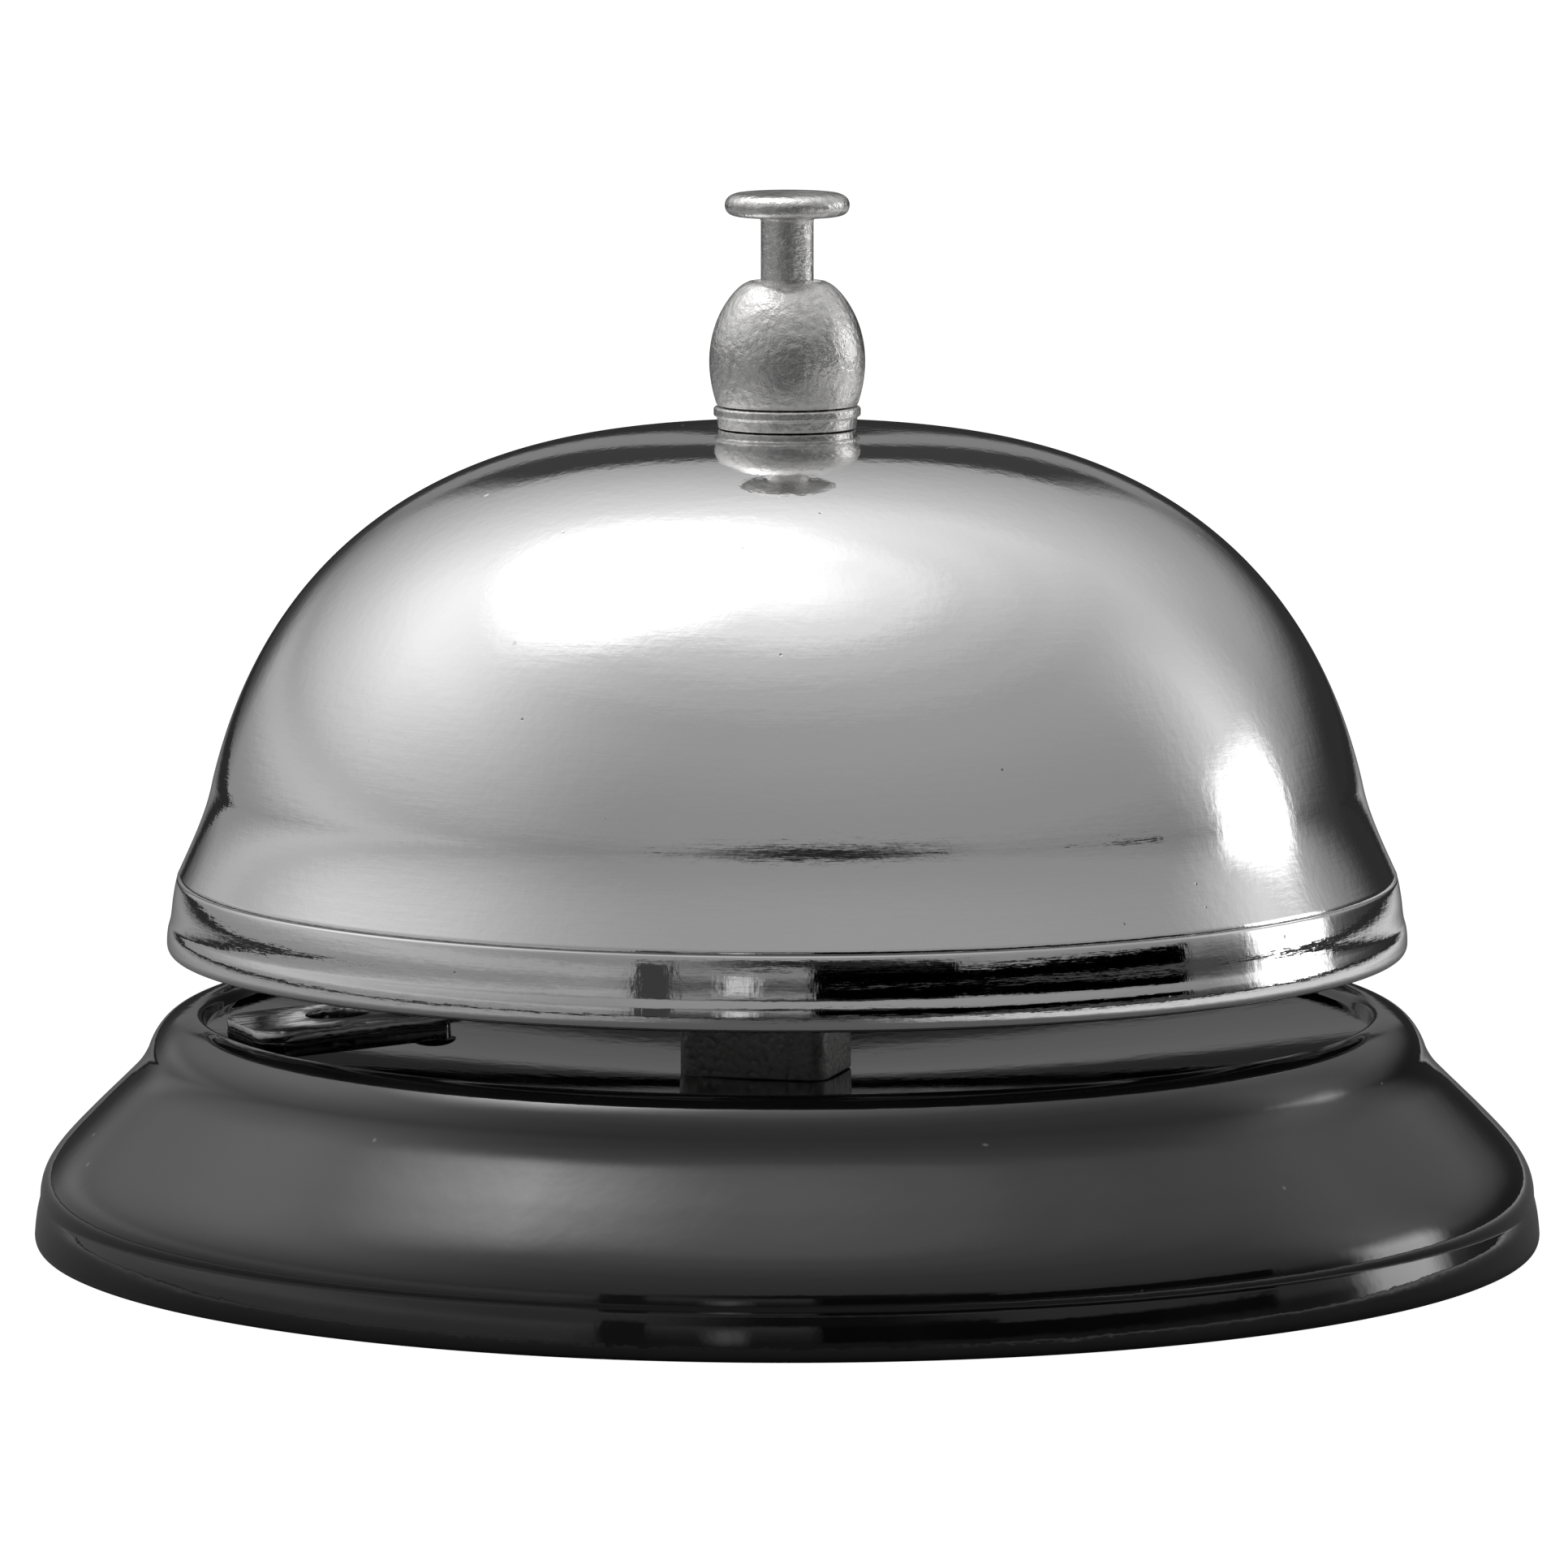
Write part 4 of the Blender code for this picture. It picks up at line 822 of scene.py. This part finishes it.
def build_pedestal():
    """Zinc casting: round-cornered column, and the fork that carries the pin and the post."""
    half_slot = 2.4
    half = FORK_HIGH.y
    fork_low, slot_low = 13.66, PIVOT_Z - 3.85
    slot_high, top = FORK_HIGH.z - 3.0, FORK_HIGH.z
    back, end = FORK_LOW.x, FORK_HIGH.x
    bm = bmesh.new()
    section = rounded([(-half, fork_low, 0.6), (half, fork_low, 0.6), (half, top, 0.8), (-half, top, 0.8)])
    slot = rounded([(-half_slot, slot_low, 0.4), (half_slot, slot_low, 0.4),
                    (half_slot, slot_high, 0.5), (-half_slot, slot_high, 0.5)])
    tunnel = plate(section, [slot], back, end)
    tunnel.transform(Matrix(((0, 0, 1, 0), (1, 0, 0, 0), (0, 1, 0, 0), (0, 0, 0, 1))))
    soften(tunnel, 0.25, 2, 60.0)
    merge_in(bm, tunnel)
    rest = block((PIVOT_R - 1.6, -half_slot, slot_low - 0.3), (end - 0.05, half_slot, PIVOT_Z - 2.12))
    soften(rest, 0.2, 2, 60.0)
    merge_in(bm, rest)
    lathe(bm, rounded([(POST_HIGH.x + 0.1, top - 0.4, 0.0), (POST_HIGH.x + 0.1, top - 0.02, 0.05),
                       (POST_WASHER_HIGH.x - 2.6, top - 0.02, 0.05),
                       (POST_WASHER_HIGH.x - 2.6, top - 0.4, 0.0)]), 64, closed=True)
    column = block((-COLUMN_LENGTH / 2, -COLUMN_DEPTH / 2, BOWL_Z + 0.1),
                   (COLUMN_LENGTH / 2, COLUMN_DEPTH / 2, fork_low + 0.9))
    upright = [edge for edge in column.edges
               if abs((edge.verts[0].co - edge.verts[1].co).normalized().z) > 0.99]
    bmesh.ops.bevel(column, geom=upright, offset=1.0, offset_type="OFFSET", affect="EDGES", segments=8,
                    profile=0.5, material=-1, clamp_overlap=True)
    soften(column, 0.12, 2, 60.0)
    column.transform(LINE_PLACE.inverted() @ COLUMN_PLACE)
    merge_in(bm, column)
    finish("pedestal_casting", bm, ZINC, "stand", ["pedestal"], LINE_PLACE)


def cross_recess(half_width, reach):
    """Plan of a cross-shaped screw recess."""
    w, r = half_width, reach
    return [(r, -w), (r, w), (w, w), (w, r), (-w, r), (-w, w), (-r, w), (-r, -w), (-w, -w), (-w, -r),
            (w, -r), (w, -w)]


def build_screws():
    """Pan-head screws with a cross recess, driven up from under the floor."""
    for number in (1, 2):
        low, high = box_mm(f"pedestal_screw_{number}")
        middle = (low + high) / 2
        head_r = (high.x - low.x) / 2
        head_top = BOWL_Z - BASE_SHEET - SEAT
        head_low = low.z
        bm = bmesh.new()
        shank = threads(1.0, 0.15, high.z - 0.3, head_top, 0.45)
        outline = [(0.0, high.z), (0.7, high.z)] + shank + [(1.0, head_top)]
        outline += rounded([(1.0, head_top, 0.0), (head_r, head_top, 0.05), (head_r, head_low + 0.5, 0.3),
                            (head_r - 0.35, head_low, 0.25), (0.95, head_low, 0.0)], closed=False)
        lathe(bm, outline, 48)
        hub = [edge for edge in bm.edges if edge.is_boundary]
        star = loop(bm, cross_recess(0.22, 0.80), head_low)
        bmesh.ops.triangle_fill(bm, use_beauty=True, use_dissolve=False, edges=hub + star)
        walls = bmesh.ops.extrude_edge_only(bm, edges=star)["geom"]
        inner = [item for item in walls if isinstance(item, bmesh.types.BMVert)]
        bmesh.ops.translate(bm, verts=inner, vec=(0.0, 0.0, 0.75))
        bmesh.ops.scale(bm, verts=inner, vec=(0.7, 0.7, 1.0))
        floor = [item for item in walls if isinstance(item, bmesh.types.BMEdge)
                 and all(vert in inner for vert in item.verts)]
        bmesh.ops.triangle_fill(bm, use_beauty=True, use_dissolve=False, edges=floor)
        turn = Matrix.Translation((middle.x, middle.y, 0.0)) @ Matrix.Rotation(0.5 * number, 4, "Z")
        finish(f"floor_screw_{number}", bm, TURNED, "stand", [f"pedestal_screw_{number}"], turn)


# ---------------------------------------------------------------- striker
HEAD_LENGTH = 11.6
HEAD_HALF = ARM_HIGH.y
HEAD_CORNER = 2.0
HEAD_LEAN = 0.062        # the head climbs towards the pivot
NECK_HALF = 1.95
HOLE_R = 1.8
HOLE_AT = HEAD_END - 5.7
RIVET_AT = HEAD_END - 10.5
RIVET_SIDE = 2.3
RIVET_R = 0.75
SHEET_T = 0.6
BACKING_EXTRA = 0.25     # the second layer is that much thicker
BARREL_R = 1.8
BARREL_HALF = 2.1
ACROSS_PIVOT = Matrix.Translation((PIVOT_R, 0.0, PIVOT_Z)) @ Matrix.Rotation(math.pi / 2, 4, "X")


def head_level(reach):
    """Middle of the arm's sheet along its head."""
    end_mid = LIP_Z + 1.55 - SHEET_T / 2
    return end_mid + HEAD_LEAN * (HEAD_END - reach)


def bend_to(bm, line, middle):
    """Lays a flat strip, drawn along X, on a line of (reach, level) points."""
    lengths = [0.0]
    for start, end in zip(line, line[1:]):
        lengths.append(lengths[-1] + (Vector(end) - Vector(start)).length)
    for vert in bm.verts:
        index = max(i for i, length in enumerate(lengths[:-1]) if i == 0 or length <= vert.co.x)
        share = (vert.co.x - lengths[index]) / (lengths[index + 1] - lengths[index])
        start, end = Vector(line[index]), Vector(line[index + 1])
        along = (end - start).normalized()
        on_line = start.lerp(end, share)
        lift = vert.co.z - middle
        vert.co = Vector((on_line.x - along.y * lift, vert.co.y, on_line.y + along.x * lift))


def slice_along(bm, places):
    """Cuts the strip across at each place so that it can bend there."""
    for place in places:
        bmesh.ops.bisect_plane(bm, geom=[*bm.verts, *bm.edges, *bm.faces], dist=1e-5,
                               plane_co=(place, 0, 0), plane_no=(1, 0, 0))


def head_plan(start, end, neck_from=None):
    """Plan of the head: round outer corners, and a narrow neck behind where it has one."""
    points = []
    if neck_from is not None:
        points += [(neck_from, -NECK_HALF, 0.5), (start - 2.0, -NECK_HALF, 1.5)]
    points += [(start, -HEAD_HALF, 0.8), (end, -HEAD_HALF, HEAD_CORNER)]
    mirrored = [(x, -y, turn) for x, y, turn in reversed(points)]
    return rounded(points + mirrored, steps=10)


def build_striker():
    """Bent arm with a rolled barrel, the second layer under its head, and two rivets.

    The arm is cut flat along X, sliced where it bends, and then laid on its bent line.
    """
    start = HEAD_END - HEAD_LENGTH
    bend = start - 0.2
    tail = ARM_LOW.x
    corners = [(tail, PIVOT_Z, 0.0), (PIVOT_R + 1.0, PIVOT_Z, 1.2), (bend, head_level(bend), 1.2),
               (HEAD_END, head_level(HEAD_END), 0.0)]
    line = rounded(corners, closed=False, steps=10)
    total = sum((Vector(b) - Vector(a)).length for a, b in zip(line, line[1:]))
    slant = math.hypot(1.0, HEAD_LEAN)

    def along(reach):
        """How far along the strip a place on the head lies."""
        return total - (HEAD_END - reach) * slant

    holes = [circle(HOLE_R, (along(HOLE_AT), 0.0), 64)]
    holes += [circle(RIVET_R, (along(RIVET_AT), side * RIVET_SIDE), 24) for side in (-1, 1)]
    flat = plate(head_plan(along(start), total, 0.0), holes, 0.0, SHEET_T)
    soften(flat, 0.09, 3, 60.0)
    step, marks = 0.0, []
    for first, second in zip(line, line[1:]):
        step += (Vector(second) - Vector(first)).length
        marks.append(step)
    slice_along(flat, marks[:-1])
    bend_to(flat, line, SHEET_T / 2)
    barrel = bmesh.new()
    lathe(barrel, ring_outline(PIN_R + 0.06, BARREL_R, -BARREL_HALF, BARREL_HALF, 0.12), 48, closed=True)
    barrel.transform(ACROSS_PIVOT)
    merge_in(flat, barrel)
    finish("striker_lever", flat, SHEET, "striker", ["striker_arm"], LINE_PLACE)

    drop = SHEET_T + SEAT
    inset = start + 0.4
    low_line = [(reach, head_level(reach) - drop) for reach in (inset, HEAD_END)]
    length = (Vector(low_line[1]) - Vector(low_line[0])).length
    plan = head_plan(0.0, length)
    back = [circle(HOLE_R, (length - (HEAD_END - HOLE_AT) * slant, 0.0), 64)]
    under = plate(plan, back, 0.0, SHEET_T + BACKING_EXTRA)
    soften(under, 0.12, 3, 60.0)
    bend_to(under, low_line, SHEET_T / 2 + BACKING_EXTRA)
    # painted shade: the backing plate takes the darker copy of the sheet steel
    finish("striker_backing", under, SHADE_PAINTED_SHEET, "striker", ["striker_weight"], LINE_PLACE)

    middle = head_level(RIVET_AT) - 0.45
    grip = 0.85
    for number, side in enumerate((-1, 1), 1):
        dome = curve((0.0, grip + 0.45), (0.75, grip + 0.45), (1.28, grip + 0.25), (1.3, grip), 8)
        outline = [(0.0, grip + 0.45)] + dome + [(RIVET_R, grip - 0.02), (RIVET_R, 0.02 - grip)]
        outline += [(radius, -height) for radius, height in dome[::-1]] + [(0.0, -grip - 0.45)]
        place = LINE_PLACE @ Matrix.Translation((RIVET_AT, side * RIVET_SIDE, middle))
        # painted shade: the rivets take the darker copy of the sheet steel
        finish(f"head_rivet_{number}", turned(outline, 40), SHADE_PAINTED_SHEET, "striker",
               [f"weight_rivet_{number}"], place)


def build_pin():
    """Headed pin through the fork, and the ring that keeps it there."""
    cheek = FORK_HIGH.y + SEAT
    lay_down = LINE_PLACE @ ACROSS_PIVOT
    head, plain = sorted((PIN_LOW.y, PIN_HIGH.y), key=abs)
    sign = -1.0 if head > 0 else 1.0
    outline = [(0.0, head)] + curve((0.0, head), (1.4, head), (PIN_HEAD_R, head + sign * 0.1),
                                    (PIN_HEAD_R, head + sign * 0.45), 8)
    outline += [(PIN_HEAD_R, -sign * cheek), (PIN_R, -sign * cheek), (PIN_R, plain - sign * 0.25),
                (PIN_R - 0.25, plain), (0.0, plain)]
    flipped = [(r, -z) for r, z in outline]
    finish("striker_pin", turned(flipped, 48), TURNED, "stand", ["pivot_pin"], lay_down)
    clip = ring_outline(PIN_R + SEAT, PIN_HEAD_R, -CLIP_HIGH.y, -CLIP_LOW.y, 0.12)
    finish("pin_ring", turned(clip, 48, closed=True), TURNED, "stand", ["pivot_clip"], lay_down)


# ---------------------------------------------------------------- floor, light and camera
TABLE_HALF = 4.0         # metres
SKY_LOW, SKY_HIGH = -10, 90              # elevations of the sky's ends, degrees
SKY_TOP = 1.2            # brightness that the sky's ramp reaches
LENS = 266.9             # on a 36 mm sensor
CAMERA_PLACE = (0.0, -0.650, 0.105)
CAMERA_AIM = (-0.00018, 0.0, 0.0259)


def build_floor():
    """Pale table top. Only its upper side shows, and the camera sees it almost evenly lit; in reflections
    its colour is painted light and shade, lighter left and right of the bell and near black far from it.
    """
    bm = bmesh.new()
    bmesh.ops.create_grid(bm, x_segments=8, y_segments=8, size=TABLE_HALF)
    mesh = bpy.data.meshes.new("table_top")
    bm.to_mesh(mesh)
    bm.free()
    table = bpy.data.objects.new("table_top", mesh)
    bpy.context.scene.collection.objects.link(table)
    look = bpy.data.materials.new("pale_table")
    look.use_nodes = True
    tree = look.node_tree
    tree.nodes.clear()
    wire = Wiring(tree)
    path = wire.add("LightPath").outputs
    place = wire.add("TexCoord").outputs["Object"]
    reach = wire.add("VectorMath", {0: place}, operation="LENGTH").outputs["Value"]
    across = wire.add("SeparateXYZ", {0: place}).outputs["X"]
    # painted light and shade for reflected rays: lighter left and right of the bell, darker in a strip
    # through it, and near black far away
    left = wire.remap(across, -0.03, -0.16, 0.14, 0.45)
    right = wire.remap(across, 0.05, 0.16, 0.0, 0.75)
    pale = wire.mix(wire.remap(reach, 0.15, 0.6), wire.math("ADD", left, right), 0.03)
    lit = wire.add("CombineColor", {0: pale, 1: pale, 2: pale}).outputs[0]
    tint = wire.mix_colour(path["Is Camera Ray"], lit, grey(0.9))
    matt = wire.add("BsdfDiffuse", {"Color": tint}).outputs[0]
    glow = wire.add("Emission", {"Color": grey(1.0), "Strength": 1.12}).outputs[0]
    seen = wire.add("MixShader", {0: wire.math("MULTIPLY", path["Is Camera Ray"], 0.9), 1: matt, 2: glow})
    under = wire.add("BsdfTransparent").outputs[0]
    side = wire.add("NewGeometry").outputs["Backfacing"]
    both = wire.add("MixShader", {0: side, 1: seen.outputs[0], 2: under})
    sink = wire.add("OutputMaterial")
    tree.links.new(both.outputs[0], sink.inputs["Surface"])
    mesh.materials.append(look)


def light_patch(wire, direction, azimuth, elevation, half, soft, strength):
    """A soft-edged panel of light at a place on the sky; sizes in degrees, as (wide, high)."""
    aside = wire.add("VectorRotate", {"Vector": direction, "Angle": math.radians(-azimuth)},
                     rotation_type="Z_AXIS").outputs[0]
    level = wire.add("VectorRotate", {"Vector": aside, "Angle": math.radians(elevation)},
                     rotation_type="X_AXIS").outputs[0]
    parts = wire.add("SeparateXYZ", {0: level}).outputs
    across = wire.math("ARCTAN2", parts["X"], wire.math("MULTIPLY", parts["Y"], -1.0))
    upward = wire.math("ARCSINE", parts["Z"])
    masks = []
    for angle, width, edge in zip((across, upward), half, soft):
        away = wire.math("ABSOLUTE", angle)
        masks.append(wire.remap(away, math.radians(width + edge), math.radians(width - edge)))
    patch = wire.math("MULTIPLY", masks[0], masks[1])
    return wire.math("MULTIPLY", patch, strength)


def build_studio():
    """Soft surrounding light: a pale tent, a big overhead panel, a narrow side panel, dark gaps."""
    world = bpy.data.worlds.new("studio")
    bpy.context.scene.world = world
    world.use_nodes = True
    tree = world.node_tree
    tree.nodes.clear()
    wire = Wiring(tree)
    direction = wire.add("TexCoord").outputs["Generated"]
    height = wire.add("SeparateXYZ", {0: direction}).outputs["Z"]
    elevation = wire.math("ARCSINE", height)
    share = wire.remap(elevation, math.radians(SKY_LOW), math.radians(SKY_HIGH), smooth=False)
    ramp = wire.add("ValToRGB", {"Fac": share})
    ramp.color_ramp.interpolation = "EASE"
    # elevation in degrees and brightness
    stops = ((-10, 0.05), (2, 0.07), (12, 0.26), (22, 0.32), (45, 0.38), (55, 0.46), (65, 0.58),
             (75, 0.84), (88, 1.1))
    elements = ramp.color_ramp.elements
    while len(elements) < len(stops):
        elements.new(0.5)
    for element, (degrees, value) in zip(elements, stops):
        element.position = (degrees - SKY_LOW) / (SKY_HIGH - SKY_LOW)
        element.color = grey(value / SKY_TOP)
    light = wire.math("MULTIPLY", ramp.outputs["Color"], SKY_TOP)
    # azimuth, elevation, half size, soft edge (all in degrees), brightness
    patches = [
        (-108, 38, (32, 20), (34, 24), 0.50),     # glow on the left
        (-132, 70, (20, 18), (28, 28), 0.50),     # overhead panel
        (-120, 69, (5, 5), (23, 17), 11.0),       # its core
        (-175, 58, (50, 14), (40, 30), 0.42),     # light ceiling behind
        (108, 2, (9.5, 12), (5, 7), 2.6),         # side panel
        (108, 16, (10, 16), (14, 20), 0.55),      # its glow
        (-92, 3.0, (64, 9.5), (8, 4), 0.20),      # pale board, left of the camera
        (-9, 5, (2.5, 3.5), (2.5, 3), 0.55),      # small lamp beside the camera
    ]
    for azimuth, up, half, soft, strength in patches:
        light = wire.math("ADD", light, light_patch(wire, direction, azimuth, up, half, soft, strength))
    boards = [
        (18, 9.0, (13.5, 6.4), (1.2, 1.2), 0.0),  # dark room behind and right of the camera
        (54, 7.5, (25, 4.6), (1.2, 1.2), 0.0),    # and farther right
        (6, 16.3, (20, 3.0), (14, 2.0), 0.02),    # dark ledge over the camera
        (-24.5, 7, (3.5, 8), (1.0, 1.5), 0.05),   # dark post left of the camera
        (165, 1, (30, 10), (14, 8), 0.03),        # dark room behind the bell
        (180, 20, (12, 6), (3, 2), 0.05),         # dark top of the wall behind
        (180, 10.5, (12, 3.6), (3, 1.0), 0.235),  # pale wall between them
    ]
    for azimuth, up, half, soft, value in boards:
        light = wire.mix(light_patch(wire, direction, azimuth, up, half, soft, 1.0), light, value)
    light = wire.math("MAXIMUM", light, 0.0)
    seen = wire.mix(wire.add("LightPath").outputs["Is Camera Ray"], light, 1.1)
    glow = wire.add("Background", {"Color": grey(1.0), "Strength": seen}).outputs[0]
    sink = wire.add("OutputWorld")
    tree.links.new(glow, sink.inputs["Surface"])
    bpy.context.scene.view_settings.view_transform = "Standard"


def build_camera():
    """Camera in front of the bell, a little above it."""
    data = bpy.data.cameras.new("front_camera")
    data.sensor_width = 36.0
    data.lens = LENS
    data.clip_start = 0.01
    data.clip_end = 50.0
    camera = bpy.data.objects.new("front_camera", data)
    bpy.context.scene.collection.objects.link(camera)
    camera.location = CAMERA_PLACE
    aim = Vector(CAMERA_AIM) - camera.location
    camera.rotation_euler = aim.to_track_quat("-Z", "Y").to_euler()
    bpy.context.scene.camera = camera


def main():
    """Builds every piece, the table, the light and the camera."""
    build_base()
    build_grip()
    build_bell()
    build_collar_ring()
    build_knob()
    build_button()
    build_post()
    build_washers()
    build_lock_nut()
    build_stem_collar()
    build_spring()
    build_pedestal()
    build_screws()
    build_striker()
    build_pin()
    build_floor()
    build_studio()
    build_camera()


main()
